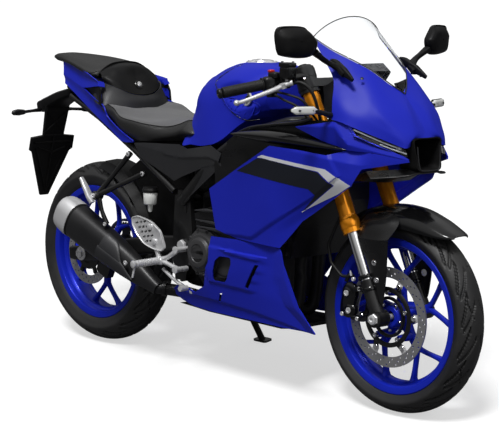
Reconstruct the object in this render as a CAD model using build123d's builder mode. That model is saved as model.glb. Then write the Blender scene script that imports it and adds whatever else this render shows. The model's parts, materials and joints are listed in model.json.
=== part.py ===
from build123d import *
import os
from math import cos, radians, sin, tan

# A small sport bike with a full fairing, parked on its side stand.
# Each piece is drawn upright in the bike frame, in millimetres: X forward, Y to the rider's
# left, Z up, with the origin on the ground midway between the axles. save() then leans the
# finished piece onto the side stand and writes its STEP file.

# ---- Driving dimensions ------------------------------------------------------------------

WHEELBASE = 1380
FRONT_TYRE_RADIUS = 293
FRONT_TYRE_WIDTH = 110
REAR_TYRE_RADIUS = 314
REAR_TYRE_WIDTH = 140
RIM_FLANGE_RADIUS = 232
BEAD_SEAT_RADIUS = 218
FRONT_RIM_WIDTH = 88
REAR_RIM_WIDTH = 110
RIM_WALL = 6
RAKE = 25
TRAIL = 95
FORK_HALF_SPACING = 100
FORK_OUTER_RADIUS = 25
FORK_INNER_RADIUS = 18.5
FORK_LOWER_RADIUS = 22
FRONT_DISC_RADIUS = 149
REAR_DISC_RADIUS = 110
DISC_THICKNESS = 4.5
FRONT_DISC_Y = -62
REAR_DISC_Y = -84
AXLE_RADIUS = 9
SPROCKET_RADIUS = 94
SPROCKET_Y = 84
GRIP_RADIUS = 16.5
BAR_RADIUS = 11
COWL_WALL = 3
FIT = 0.05
LEAN = 9
PARK_SHIFT_X = 52
PARK_SHIFT_Y = -155.5

# ---- Derived places ----------------------------------------------------------------------

FRONT_AXLE = Vector(WHEELBASE / 2, 0, FRONT_TYRE_RADIUS)
REAR_AXLE = Vector(-WHEELBASE / 2, 0, REAR_TYRE_RADIUS)
STEER_DIR = Vector(-sin(radians(RAKE)), 0, cos(radians(RAKE)))
STEER_FOOT = Vector(FRONT_AXLE.X + TRAIL, 0, 0)
PARK_LIFT = 0.8
PARKED = Pos(PARK_SHIFT_X, PARK_SHIFT_Y, PARK_LIFT) * Rot(-LEAN, 0, 0)
SIDES = (1, -1)


def place(point):
    """Where a point of the upright bike frame is once the bike is parked."""
    return (PARKED * Pos(*point)).position


def save(piece, node):
    """Lean a finished piece onto the side stand, label it and write its STEP file."""
    parked = PARKED * piece.part
    parked.label = node
    export_step(parked, f"parts/{node}.step")


# ---- Shapes that many pieces share -------------------------------------------------------

def across(x):
    """The plane square to the bike's length at x: its axes are Y and Z."""
    return Plane((x, 0, 0), x_dir=(0, 1, 0), z_dir=(1, 0, 0))


def beside(y, origin=(0, 0, 0)):
    """The plane along the bike at y from origin: its axes are X and Z."""
    return Plane(Vector(*origin) + Vector(0, y, 0), x_dir=(1, 0, 0), z_dir=(0, -1, 0))


def steering(height):
    """The plane square to the steering axis, height along it from the ground point."""
    return Plane(STEER_FOOT + STEER_DIR * height, x_dir=(cos(radians(RAKE)), 0, sin(radians(RAKE))),
                 z_dir=STEER_DIR)


def leg(z, side):
    """The point of a fork leg's centre line at height z."""
    return Vector(FRONT_AXLE.X - (z - FRONT_AXLE.Z) * tan(radians(RAKE)), side * FORK_HALF_SPACING, z)


def rod(start, end, radius):
    """A round bar between two points."""
    with BuildPart() as bar:
        with BuildLine() as path:
            Line(start, end)
        with BuildSketch(Plane(path.line @ 0, z_dir=path.line % 0)):
            Circle(radius)
        sweep()
    return bar.part


def tube(points, radius, bend):
    """A bar along several points, with one bend radius at every corner."""
    with BuildPart() as bar:
        with BuildLine() as path:
            FilletPolyline(*points, radius=bend)
        with BuildSketch(Plane(path.line @ 0, z_dir=path.line % 0)):
            Circle(radius)
        sweep()
    return bar.part


def plate(outline, y_from, y_to):
    """A flat plate with an (x, z) outline, between two distances from the centre plane."""
    with BuildPart() as sheet:
        with BuildSketch(beside(y_from)):
            Polygon(*outline)
        extrude(amount=y_to - y_from, dir=(0, 1, 0))
    return sheet.part


def block(stations):
    """A solid through symmetrical cross-sections: x, then a half outline (y, z) from top to bottom."""
    with BuildPart() as solid:
        for x, half in stations:
            with BuildSketch(across(x)):
                Polygon(*half, *[(-y, z) for y, z in reversed(half)])
        loft(ruled=True)
    return solid.part


def moved_in(points, wall):
    """A (y, z) line moved sideways by wall, towards the centre plane."""
    line = [Vector(*point) for point in points]
    inner = []
    for i, point in enumerate(line):
        along = (line[min(i + 1, len(line) - 1)] - line[max(i - 1, 0)]).normalized()
        inner.append((point.X + along.Y * wall, point.Y - along.X * wall))
    return inner


def skin(stations, wall):
    """The left half of a thin panel: x, then its outside (y, z) line from top to bottom."""
    with BuildPart() as panel:
        for x, line in stations:
            with BuildSketch(across(x)):
                Polygon(*line, *reversed(moved_in(line, wall)))
        loft(ruled=True)
    return panel.part


def keep_inside(outline):
    """The solid that lies inside an (x, z) outline, on both sides."""
    return plate(outline, -500, 500)


os.makedirs("parts", exist_ok=True)

# ---- Wheels ------------------------------------------------------------------------------

SPOKE_COUNT = 5
SPOKE_THICKNESS = 20
SPOKE_FORK_RADIUS = 92
SPOKE_SPREAD = 17
HUB_RADIUS = 32


def wheel_ring(axle, outline, inner):
    """A ring about an axle from an outside (y, r) line and its inside line."""
    with BuildPart() as ring:
        with BuildSketch(Plane(axle, x_dir=(0, 1, 0), z_dir=(1, 0, 0))):
            Polygon(*outline, *reversed(inner))
        revolve(axis=Axis(axle, (0, 1, 0)))
    return ring.part


def spoke_leg(start, end, start_width, end_width):
    """A tapered bar in a sketch between two points."""
    along = (Vector(*end) - Vector(*start)).normalized()
    side = Vector(-along.Y, along.X)
    a, b = Vector(*start), Vector(*end)
    corners = [a + side * start_width / 2, b + side * end_width / 2,
               b - side * end_width / 2, a - side * start_width / 2]
    return Polygon(*[(corner.X, corner.Y) for corner in corners])


def cast_rim(axle, width, hub_half, turn):
    """A cast wheel: barrel, hub with an axle bore and Y-shaped spokes."""
    half = width / 2
    well = BEAD_SEAT_RADIUS - 14
    outside = [(-half, RIM_FLANGE_RADIUS), (-half + 5, RIM_FLANGE_RADIUS), (-half + 9, BEAD_SEAT_RADIUS),
               (-half + 24, BEAD_SEAT_RADIUS), (-half + 34, well), (half - 34, well),
               (half - 24, BEAD_SEAT_RADIUS), (half - 9, BEAD_SEAT_RADIUS), (half - 5, RIM_FLANGE_RADIUS),
               (half, RIM_FLANGE_RADIUS)]
    inside = [(-half, BEAD_SEAT_RADIUS - RIM_WALL), (-half + 26, BEAD_SEAT_RADIUS - RIM_WALL),
              (-half + 36, well - RIM_WALL), (half - 36, well - RIM_WALL),
              (half - 26, BEAD_SEAT_RADIUS - RIM_WALL), (half, BEAD_SEAT_RADIUS - RIM_WALL)]
    fork = (SPOKE_FORK_RADIUS, 0)
    reach = well - RIM_WALL / 2
    face = beside(0, axle)
    with BuildPart() as rim:
        add(wheel_ring(axle, outside, inside))
        with BuildSketch(face):
            Circle(HUB_RADIUS)
        extrude(amount=hub_half, both=True)
        with BuildSketch(face) as arms:
            with PolarLocations(0, SPOKE_COUNT, start_angle=turn):
                spoke_leg((HUB_RADIUS - 6, 0), (SPOKE_FORK_RADIUS + 6, 0), 34, 26)
                for lean in (SPOKE_SPREAD, -SPOKE_SPREAD):
                    end = (reach * cos(radians(lean)), reach * sin(radians(lean)))
                    spoke_leg(fork, end, 19, 17)
        extrude(amount=SPOKE_THICKNESS / 2, both=True)
        with BuildSketch(face.offset(-hub_half)):
            Circle(AXLE_RADIUS + FIT)
        extrude(amount=2 * hub_half, mode=Mode.SUBTRACT)
    return rim


def tyre(axle, radius, width, rim_width):
    """A tyre with an open inside, seated on its rim's bead seats."""
    half = width / 2
    seat = rim_width / 2 - 9
    belly = RIM_FLANGE_RADIUS + 0.45 * (radius - RIM_FLANGE_RADIUS)
    foot = RIM_FLANGE_RADIUS + 2
    with BuildPart() as ring:
        with BuildSketch(Plane(axle, x_dir=(0, 1, 0), z_dir=(1, 0, 0))):
            with BuildLine():
                crown = ThreePointArc((-half, belly), (0, radius), (half, belly))
                right = ThreePointArc(crown @ 1, (half - 2, belly - 14), (rim_width / 2 - 1, foot))
                Polyline(right @ 1, (seat, foot), (seat, BEAD_SEAT_RADIUS + FIT),
                         (seat - 12, BEAD_SEAT_RADIUS + FIT), (half - 10, belly), (half - 26, radius - 22))
                ThreePointArc((half - 26, radius - 22), (0, radius - 10), (26 - half, radius - 22))
                Polyline((26 - half, radius - 22), (10 - half, belly), (12 - seat, BEAD_SEAT_RADIUS + FIT),
                         (-seat, BEAD_SEAT_RADIUS + FIT), (-seat, foot), (1 - rim_width / 2, foot))
                ThreePointArc((1 - rim_width / 2, foot), (2 - half, belly - 14), crown @ 0)
            make_face()
        revolve(axis=Axis(axle, (0, 1, 0)))
    return ring


def brake_disc(axle, y, radius, band, rows):
    """A drilled disc: rows are (hole ring radius, start angle)."""
    with BuildPart() as disc:
        with BuildSketch(beside(y, axle)):
            Circle(radius)
            Circle(radius - band, mode=Mode.SUBTRACT)
            for ring, start in rows:
                with PolarLocations(ring, 24, start_angle=start):
                    Circle(3.2, mode=Mode.SUBTRACT)
        extrude(amount=DISC_THICKNESS / 2, both=True)
    return disc


FRONT_HUB_HALF = 52
REAR_HUB_HALF = 62
save(cast_rim(FRONT_AXLE, FRONT_RIM_WIDTH, FRONT_HUB_HALF, 90), "front_rim")
save(cast_rim(REAR_AXLE, REAR_RIM_WIDTH, REAR_HUB_HALF, 54), "rear_rim")
save(tyre(FRONT_AXLE, FRONT_TYRE_RADIUS, FRONT_TYRE_WIDTH, FRONT_RIM_WIDTH), "front_tyre")
save(tyre(REAR_AXLE, REAR_TYRE_RADIUS, REAR_TYRE_WIDTH, REAR_RIM_WIDTH), "rear_tyre")

FRONT_BAND = 31
REAR_BAND = 30
front_rows = [(FRONT_DISC_RADIUS - 7, 0), (FRONT_DISC_RADIUS - 15.5, 5), (FRONT_DISC_RADIUS - 24, 10)]
rear_rows = [(REAR_DISC_RADIUS - 9, 0), (REAR_DISC_RADIUS - 20, 7.5)]
save(brake_disc(FRONT_AXLE, FRONT_DISC_Y, FRONT_DISC_RADIUS, FRONT_BAND, front_rows), "front_disc")
save(brake_disc(REAR_AXLE, REAR_DISC_Y, REAR_DISC_RADIUS, REAR_BAND, rear_rows), "rear_disc")


def disc_carrier(axle, disc_y, ring_radius, arms, hub_half):
    """A spider from the hub's right end to the disc's inner edge."""
    half = DISC_THICKNESS / 2
    with BuildPart() as carrier:
        with BuildSketch(beside(disc_y, axle)):
            Circle(58)
            with PolarLocations(0, arms):
                spoke_leg((50, 0), (ring_radius - 1, 0), 20, 15)
            Circle(38, mode=Mode.SUBTRACT)
        extrude(amount=half, both=True)
        with BuildSketch(beside(disc_y, axle)):
            Circle(48)
            Circle(AXLE_RADIUS + 6, mode=Mode.SUBTRACT)
        extrude(amount=-disc_y - hub_half - FIT, dir=(0, 1, 0))
        with BuildSketch(beside(disc_y - half, axle)):
            with PolarLocations(ring_radius - 8, arms):
                Circle(7)
        extrude(amount=3, dir=(0, -1, 0))
    return carrier


save(disc_carrier(FRONT_AXLE, FRONT_DISC_Y, FRONT_DISC_RADIUS - FRONT_BAND, 10, FRONT_HUB_HALF),
     "front_disc_carrier")

SPROCKET_TEETH = 43
with BuildPart() as rear_hub_fittings:
    add(disc_carrier(REAR_AXLE, REAR_DISC_Y, REAR_DISC_RADIUS - REAR_BAND, 6, REAR_HUB_HALF).part)
    with BuildSketch(beside(SPROCKET_Y, REAR_AXLE)):
        Circle(SPROCKET_RADIUS - 6)
        with PolarLocations(SPROCKET_RADIUS - 5, SPROCKET_TEETH):
            RegularPolygon(5, 3)
        with PolarLocations(64, 6):
            Circle(13, mode=Mode.SUBTRACT)
        Circle(AXLE_RADIUS + 6, mode=Mode.SUBTRACT)
    extrude(amount=3, both=True)
    with BuildSketch(beside(REAR_HUB_HALF + FIT, REAR_AXLE)):
        Circle(46)
        Circle(AXLE_RADIUS + 6, mode=Mode.SUBTRACT)
    extrude(amount=SPROCKET_Y - 3 - REAR_HUB_HALF - FIT, dir=(0, 1, 0))
save(rear_hub_fittings, "rear_hub_fittings")


def axle_shaft(axle, hub_half, reach):
    """An axle with a spacer each side of the hub and a nut at each end."""
    with BuildPart() as shaft:
        with BuildSketch(beside(-reach, axle)):
            Circle(AXLE_RADIUS)
        extrude(amount=2 * reach, dir=(0, 1, 0))
        for side in SIDES:
            with BuildSketch(beside(side * reach, axle)):
                RegularPolygon(13, 6)
            extrude(amount=8, dir=(0, side, 0))
    return shaft


save(axle_shaft(FRONT_AXLE, FRONT_HUB_HALF, FORK_HALF_SPACING + FORK_LOWER_RADIUS + 1), "front_axle")

# ---- Fork and steering -------------------------------------------------------------------

FORK_CAP_Z = 1004
FORK_COLLAR_Z = 533
FORK_LOWER_TOP_Z = 400
COLLAR_RADIUS = 28.5
with BuildPart() as fork_outers:
    for side in SIDES:
        add(rod(leg(FORK_COLLAR_Z, side), leg(FORK_CAP_Z, side), FORK_OUTER_RADIUS))
        add(rod(leg(FORK_COLLAR_Z, side), leg(FORK_COLLAR_Z + 26, side), COLLAR_RADIUS))
save(fork_outers, "fork_outers")

with BuildPart() as fork_inners:
    for side in SIDES:
        add(rod(leg(FORK_LOWER_TOP_Z + FIT, side), leg(FORK_COLLAR_Z - FIT, side), FORK_INNER_RADIUS))
save(fork_inners, "fork_inners")

with BuildPart() as fork_lowers:
    for side in SIDES:
        add(rod(leg(FRONT_AXLE.Z + 6, side), leg(FORK_LOWER_TOP_Z, side), FORK_LOWER_RADIUS))
        with BuildSketch(beside(side * FORK_HALF_SPACING, FRONT_AXLE)):
            Circle(25)
        extrude(amount=FORK_LOWER_RADIUS, both=True)
    with BuildSketch(beside(-FORK_HALF_SPACING - 40, FRONT_AXLE)):
        Circle(AXLE_RADIUS + FIT)
    extrude(amount=2 * FORK_HALF_SPACING + 80, dir=(0, 1, 0), mode=Mode.SUBTRACT)
save(fork_lowers, "fork_lowers")

FORK_OFFSET = (STEER_FOOT.X - FRONT_AXLE.X) * cos(radians(RAKE)) - FRONT_AXLE.Z * sin(radians(RAKE))
STEM_RADIUS = 16
LOWER_CLAMP = 808
UPPER_CLAMP = 1022
CLAMP_DEPTH = 26
with BuildPart() as triple_clamps:
    for height in (LOWER_CLAMP, UPPER_CLAMP):
        with BuildSketch(steering(height)):
            with Locations((0, 0)):
                Circle(30)
            with Locations((-FORK_OFFSET, FORK_HALF_SPACING), (-FORK_OFFSET, -FORK_HALF_SPACING)):
                Circle(FORK_OUTER_RADIUS + 9)
            make_hull()
            with Locations((-FORK_OFFSET, FORK_HALF_SPACING), (-FORK_OFFSET, -FORK_HALF_SPACING)):
                Circle(FORK_OUTER_RADIUS + FIT, mode=Mode.SUBTRACT)
        extrude(amount=CLAMP_DEPTH)
    with BuildSketch(steering(LOWER_CLAMP)):
        Circle(STEM_RADIUS)
    extrude(amount=UPPER_CLAMP - LOWER_CLAMP + CLAMP_DEPTH + 8)
save(triple_clamps, "triple_clamps")

BAR_BASE = steering(UPPER_CLAMP).origin
GRIP_INNER = BAR_BASE + Vector(-31, 232, 33)
BAR_END = BAR_BASE + Vector(-90, 345, 8)
BAR_DIR = (BAR_END - GRIP_INNER).normalized()
BAR_REACH = 140
SWITCH_LENGTH = 40
CLIP_Z = BAR_BASE.Z + 48


def mirrored(point, side):
    """A left-side point on the given side."""
    return Vector(point.X, side * point.Y, point.Z)


def on_bar(along, side):
    """The point of a handlebar along mm outward from the grip's inner end."""
    return mirrored(GRIP_INNER + BAR_DIR * along, side)


GRIP_LENGTH = (BAR_END - GRIP_INNER).length
with BuildPart() as handlebars:
    for side in SIDES:
        add(rod(leg(CLIP_Z, side), leg(CLIP_Z + 24, side), FORK_OUTER_RADIUS + 8))
        add(rod(on_bar(-BAR_REACH, side), on_bar(GRIP_LENGTH - 2, side), BAR_RADIUS))
        add(rod(leg(CLIP_Z - 9, side), leg(CLIP_Z + 40, side), FORK_OUTER_RADIUS + FIT), mode=Mode.SUBTRACT)
save(handlebars, "handlebars")


def sleeve(start, end, radius, side):
    """A round sleeve on a handlebar from start to end along it."""
    with BuildPart() as ring:
        with BuildSketch(Plane(on_bar(start, side), z_dir=mirrored(BAR_DIR, side))):
            Circle(radius)
            Circle(BAR_RADIUS + FIT, mode=Mode.SUBTRACT)
        extrude(amount=end - start)
    return ring.part


with BuildPart() as grips:
    for side in SIDES:
        add(sleeve(0, 4, GRIP_RADIUS + 5, side))
        add(sleeve(4, GRIP_LENGTH, GRIP_RADIUS, side))
        add(rod(on_bar(GRIP_LENGTH, side), on_bar(GRIP_LENGTH + 13, side), GRIP_RADIUS - 1))
save(grips, "grips")

LEVER_PIVOT = BAR_BASE + Vector(33, 199, 36)
LEVER_KNEE = BAR_BASE + Vector(25, 240, 22)
LEVER_TIP = BAR_BASE + Vector(-27, 342, -17)
LEVER_RADIUS = 6
with BuildPart() as levers:
    for side in SIDES:
        pivot, knee, tip = [mirrored(point, side) for point in (LEVER_PIVOT, LEVER_KNEE, LEVER_TIP)]
        add(tube([pivot, knee, tip], LEVER_RADIUS, 60))
        with Locations(tip):
            Sphere(LEVER_RADIUS + 3)
save(levers, "levers")

RESERVOIR = BAR_BASE + Vector(36, -194, 64)
RESERVOIR_SIZE = 42
PERCH_REACH = 12
with BuildPart() as bar_controls:
    for side in SIDES:
        add(sleeve(-SWITCH_LENGTH - 1, -1, GRIP_RADIUS + 4, side))
        add(sleeve(-SWITCH_LENGTH - 22, -SWITCH_LENGTH - 2, BAR_RADIUS + 7, side))
        arm = on_bar(-SWITCH_LENGTH - PERCH_REACH, side) + (22, 0, 0)
        add(rod(arm - (3, 0, 0), Vector(LEVER_PIVOT.X, arm.Y, LEVER_PIVOT.Z) + (6, 0, 0), 9))
    with Locations(RESERVOIR):
        Box(RESERVOIR_SIZE, RESERVOIR_SIZE, 32, align=(Align.CENTER, Align.CENTER, Align.MIN))
        Box(RESERVOIR_SIZE + 4, RESERVOIR_SIZE + 4, 8, align=(Align.CENTER, Align.CENTER, Align.MAX))
    add(rod(RESERVOIR + (0, 8, -6), on_bar(-SWITCH_LENGTH - PERCH_REACH, -1) + (25, 0, 9), 6))
save(bar_controls, "bar_controls")

# ---- Front fender, caliper and hose ------------------------------------------------------

FENDER_RADIUS = 327
FENDER_FRONT_ANGLE = 52
FENDER_SWEEP = 74
FENDER_WALL = 3
GUARD_Y = 104
guard_outline = [(624, 516), (716, 520), (717, 436), (711, 345), (698, 342), (656, 440)]
flange_outline = [(626, 516), (716, 520), (716, 524), (626, 520)]
stay_outline = [(636, 514), (706, 514), (706, 584), (650, 582)]
STAY_Y = 62
guard_bolts = [(676, 457), (688, 407)]
with BuildPart() as front_fender:
    fender_line = [(-1, FENDER_RADIUS), (34, FENDER_RADIUS - 5), (58, FENDER_RADIUS - 20),
                   (67, FENDER_RADIUS - 44)]
    half = fender_line + list(reversed(moved_in(fender_line, -FENDER_WALL)))
    turned = Plane(FRONT_AXLE, x_dir=(0, 1, 0),
                   z_dir=(sin(radians(FENDER_FRONT_ANGLE)), 0, -cos(radians(FENDER_FRONT_ANGLE))))
    with BuildSketch(turned):
        Polygon(*half)
        mirror(about=Plane.YZ)
    revolve(axis=Axis(FRONT_AXLE, (0, -1, 0)), revolution_arc=FENDER_SWEEP)
    for side in SIDES:
        add(plate(guard_outline, side * GUARD_Y, side * (GUARD_Y - 4)))
        add(plate(flange_outline, side * GUARD_Y, side * STAY_Y))
        add(plate(stay_outline, side * STAY_Y, side * (STAY_Y + 5)))
        with BuildSketch(beside(side * GUARD_Y)):
            with Locations(*guard_bolts):
                Circle(9)
        extrude(amount=5, dir=(0, side, 0))
save(front_fender, "front_fender")

CALIPER_CENTRE = FRONT_AXLE + Vector(-126, 0, 34)
with BuildPart() as front_caliper:
    with BuildSketch(beside(FRONT_DISC_Y, (0, 0, 0))):
        with Locations((CALIPER_CENTRE.X, CALIPER_CENTRE.Z)):
            RectangleRounded(70, 116, 16, rotation=12)
    extrude(amount=24, both=True)
    with BuildSketch(beside(FRONT_DISC_Y, FRONT_AXLE)):
        Circle(FRONT_DISC_RADIUS + 5)
    extrude(amount=DISC_THICKNESS / 2 + 3, both=True, mode=Mode.SUBTRACT)
    add(plate([(588, 366), (628, 366), (640, 346), (592, 330)], -92, -86))
    add(plate([(584, 300), (588, 268), (650, 276), (660, 300)], -92, -86))
save(front_caliper, "front_caliper")

HOSE_RADIUS = 5
hose_points = [(558, -70, 398), (514, -76, 392), (474, -82, 430), (460, -80, 482), (478, -72, 532),
               (496, -62, 580), (496, -54, 630), (480, -48, 676), (458, -44, 716)]
with BuildPart() as brake_hose:
    add(tube(hose_points, HOSE_RADIUS, 26))
save(brake_hose, "brake_hose")

# ---- Frame, swingarm and engine ----------------------------------------------------------

PIVOT = Vector(-135, 0, 412)
PIVOT_HALF = 128
SPAR_RADIUS = 19
STAND_PIVOT = Vector(-205, 128, 264)
STAND_AXIS = Vector(-0.135, 0.972, 0.194).normalized()
STAND_PIN_RADIUS = 7
STAND_PIN_GAP = 0.5
STAND_FOOT_Y = 262
STAND_FOOT_X = -168
ground_height = STAND_FOOT_Y * tan(radians(LEAN)) - PARK_LIFT / cos(radians(LEAN))
STAND_FOOT = Vector(STAND_FOOT_X, STAND_FOOT_Y, ground_height)
FOOT_PLANE = Plane(STAND_FOOT, x_dir=(1, 0, 0), z_dir=(0, -sin(radians(LEAN)), cos(radians(LEAN))))

HEAD_BOTTOM = LOWER_CLAMP + CLAMP_DEPTH + 28
HEAD_TOP = UPPER_CLAMP - 8
HEAD_TUBE_RADIUS = 28
spar_points = [(-138, 138, 556), (40, 158, 712), (150, 150, 788), (300, 96, 838), (392, 20, 846)]
hanger_points = [(300, 96, 826), (318, 120, 700), (276, 132, 600)]
with BuildPart() as main_frame:
    for side in SIDES:
        spar = [mirrored(Vector(*point), side) for point in spar_points]
        add(tube(spar, SPAR_RADIUS, 40))
        hanger = [mirrored(Vector(*point), side) for point in hanger_points]
        add(tube(hanger, 13, 30))
        pivot_outline = [(-176, 572), (-104, 580), (-92, 470), (-96, 404), (-120, 300), (-170, 296),
                         (-186, 400)]
        add(plate(pivot_outline, side * (PIVOT_HALF - 6), side * (PIVOT_HALF + 10)))
        add(plate([(-160, 590), (-118, 590), (-118, 520), (-160, 520)], side * PIVOT_HALF, side * 140))
    for height in (302, 560):
        add(rod(Vector(-150, -PIVOT_HALF, height), Vector(-150, PIVOT_HALF, height), 12))
    with BuildSketch(steering(HEAD_BOTTOM)):
        Circle(HEAD_TUBE_RADIUS)
    extrude(amount=HEAD_TOP - HEAD_BOTTOM)
    with BuildSketch(steering(HEAD_BOTTOM - 40)):
        Circle(STEM_RADIUS + FIT)
    extrude(amount=HEAD_TOP - HEAD_BOTTOM + 80, mode=Mode.SUBTRACT)
    stand_bracket = [(-182, 340), (-112, 310), (-106, 292), (-178, 240), (-222, 240), (-228, 284)]
    add(plate(stand_bracket, PIVOT_HALF - 14, PIVOT_HALF))
    with BuildSketch(Plane(STAND_PIVOT - STAND_AXIS * 40, z_dir=STAND_AXIS)):
        Circle(STAND_PIN_RADIUS + STAND_PIN_GAP)
    extrude(amount=80, mode=Mode.SUBTRACT)
save(main_frame, "main_frame")

SUBFRAME_RADIUS = 11
subframe_low = [(-176, 138, 584), (-384, 132, 700), (-620, 92, 790), (-840, 44, 850)]
subframe_high = [(20, 126, 718), (-180, 118, 708), (-400, 108, 720), (-560, 100, 764)]
with BuildPart() as subframe:
    for side in SIDES:
        for line in (subframe_low, subframe_high):
            add(tube([mirrored(Vector(*point), side) for point in line], SUBFRAME_RADIUS, 60))
    for x, z, half in ((-400, 706, 128), (-800, 838, 54)):
        add(rod(Vector(x, -half, z), Vector(x, half, z), SUBFRAME_RADIUS))
save(subframe, "subframe")

CRANK_CENTRE = (0, 408)
CHAIN_POCKET = 11
with BuildPart() as engine:
    add(block([(-118, [(96, 500), (112, 420), (96, 330)]), (-60, [(108, 520), (126, 410), (104, 276)]),
               (200, [(116, 500), (138, 400), (112, 268)]), (270, [(96, 460), (110, 400), (90, 310)])]))
    add(block([(60, [(112, 660), (112, 490)]), (262, [(112, 730), (112, 420)])]))
    add(block([(90, [(104, 700), (104, 600)]), (250, [(100, 752), (100, 640)])]))
    for side in SIDES:
        with BuildSketch(beside(side * 100)):
            with Locations(CRANK_CENTRE):
                Circle(78)
            with Locations((92, 396)):
                Circle(56)
            make_hull()
        extrude(amount=65, dir=(0, side, 0))
        with BuildSketch(beside(side * 165)):
            with Locations(CRANK_CENTRE):
                Circle(46)
        extrude(amount=20, dir=(0, side, 0))
        with BuildSketch(beside(side * 185)):
            with Locations(CRANK_CENTRE):
                Circle(36)
        extrude(amount=12, dir=(0, side, 0))
    with Locations((-90, SPROCKET_Y, 402)):
        Box(140, 2 * CHAIN_POCKET, 148, mode=Mode.SUBTRACT)
save(engine, "engine")

with BuildPart() as radiator:
    add(block([(338, [(140, 452), (140, 440)]), (372, [(150, 560), (150, 434)]),
               (398, [(150, 648), (150, 530)]), (410, [(150, 652), (150, 600)])]))
save(radiator, "radiator")

ARM_HALF = 93
arm_outline = [(-128, 434), (-128, 390), (-300, 354), (-640, 286), (-752, 280), (-762, 330), (-640, 352),
               (-420, 408), (-260, 436)]
with BuildPart() as swingarm:
    for side in SIDES:
        add(plate(arm_outline, side * ARM_HALF, side * (ARM_HALF + 24)))
    add(plate([(-214, 420), (-214, 378), (-276, 358), (-300, 414)], -ARM_HALF, ARM_HALF))
    with BuildSketch(beside(-150, REAR_AXLE)):
        Circle(AXLE_RADIUS + FIT)
    extrude(amount=300, dir=(0, 1, 0), mode=Mode.SUBTRACT)
save(swingarm, "swingarm")

REAR_AXLE_REACH = 122
with BuildPart() as rear_axle:
    add(axle_shaft(REAR_AXLE, REAR_HUB_HALF, REAR_AXLE_REACH).part)
    for side in SIDES:
        end = PIVOT + (0, side * (PIVOT_HALF + 10), 0)
        add(rod(end, end + (0, side * 12, 0), 15))
save(rear_axle, "rear_axle")

SHOCK_FOOT = Vector(-238, 0, 452)
SHOCK_HEAD = Vector(-176, 0, 676)
with BuildPart() as rear_shock:
    add(rod(SHOCK_FOOT, SHOCK_HEAD, 14))
    for step in range(7):
        middle = SHOCK_FOOT + (SHOCK_HEAD - SHOCK_FOOT) * (0.12 + 0.12 * step)
        lift = (SHOCK_HEAD - SHOCK_FOOT).normalized() * 6
        add(rod(middle - lift, middle + lift, 30))
save(rear_shock, "rear_shock")

# ---- Exhaust -----------------------------------------------------------------------------

PIPE_RADIUS = 20
pipe_points = [(306, -40, 560), (306, -38, 400), (296, -40, 250), (180, -50, 240), (-60, -78, 240),
               (-190, -82, 246), (-249, -140, 253)]
second_pipe = [(306, 40, 560), (306, 38, 400), (292, 36, 252), (140, -46, 240)]
MUFFLER_START = Vector(-330, -148, 292)
MUFFLER_END = Vector(-700, -184, 470)
MUFFLER_DIR = (MUFFLER_END - MUFFLER_START).normalized()
CAP_LENGTH = 84
MUFFLER_LENGTH = (MUFFLER_END - MUFFLER_START).length
muffler_sections = [(-90, 22, 22), (20, 30, 42), (150, 40, 56), (MUFFLER_LENGTH - CAP_LENGTH, 50, 62)]
cap_sections = [(MUFFLER_LENGTH - CAP_LENGTH + FIT, 50, 62), (MUFFLER_LENGTH, 38, 48)]


def muffler_plane(along):
    """The plane square to the muffler, along mm from its front end."""
    return Plane(MUFFLER_START + MUFFLER_DIR * along, x_dir=(0, 1, 0), z_dir=MUFFLER_DIR)


def oval_loft(sections):
    """A solid through ovals square to the muffler's axis."""
    with BuildPart() as solid:
        for along, half_wide, half_high in sections:
            with BuildSketch(muffler_plane(along)):
                Ellipse(half_wide, half_high)
        loft(ruled=True)
    return solid.part


with BuildPart() as exhaust:
    add(tube(pipe_points, PIPE_RADIUS, 60))
    add(tube(second_pipe, PIPE_RADIUS, 60))
    add(rod(Vector(288, -40, 602), Vector(312, -40, 566), PIPE_RADIUS))
    add(rod(Vector(288, 40, 602), Vector(312, 40, 566), PIPE_RADIUS))
    add(oval_loft(muffler_sections))
save(exhaust, "exhaust")

with BuildPart() as muffler_cap:
    add(oval_loft(cap_sections))
    with BuildSketch(muffler_plane(MUFFLER_LENGTH + 2)):
        Circle(17)
    extrude(amount=-60, mode=Mode.SUBTRACT)
save(muffler_cap, "muffler_cap")

with BuildPart() as heat_shield:
    add(plate([(-356, 352), (-388, 376), (-452, 452), (-474, 448), (-466, 424), (-392, 330), (-360, 320)],
              -222, -206))
save(heat_shield, "heat_shield")

# ---- Chain, rear brake and stand ---------------------------------------------------------

DRIVE_SPROCKET = Vector(-66, SPROCKET_Y, 400)
DRIVE_RADIUS = 34
CHAIN_GAP = 2
with BuildPart() as chain:
    with BuildSketch(beside(SPROCKET_Y)):
        with Locations((REAR_AXLE.X, REAR_AXLE.Z)):
            Circle(SPROCKET_RADIUS + CHAIN_GAP + 9)
        with Locations((DRIVE_SPROCKET.X, DRIVE_SPROCKET.Z)):
            Circle(DRIVE_RADIUS + CHAIN_GAP + 9)
        make_hull()
        offset(amount=-9, mode=Mode.SUBTRACT)
    extrude(amount=5, both=True)
save(chain, "chain")

with BuildPart() as side_stand:
    add(rod(STAND_PIVOT + STAND_AXIS * 26, STAND_FOOT + (0, -1, 2), 11))
    add(rod(STAND_PIVOT + STAND_AXIS * 12, STAND_PIVOT + STAND_AXIS * 38, 17))
    add(rod(STAND_PIVOT - STAND_AXIS * 18, STAND_PIVOT + STAND_AXIS * 20, STAND_PIN_RADIUS))
    with BuildSketch(FOOT_PLANE):
        RectangleRounded(62, 38, 10)
    extrude(amount=6)
    with BuildSketch(FOOT_PLANE):
        Rectangle(300, 300)
    extrude(amount=-60, mode=Mode.SUBTRACT)
save(side_stand, "side_stand")

# ---- Tank, seats and tail ----------------------------------------------------------------

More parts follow.
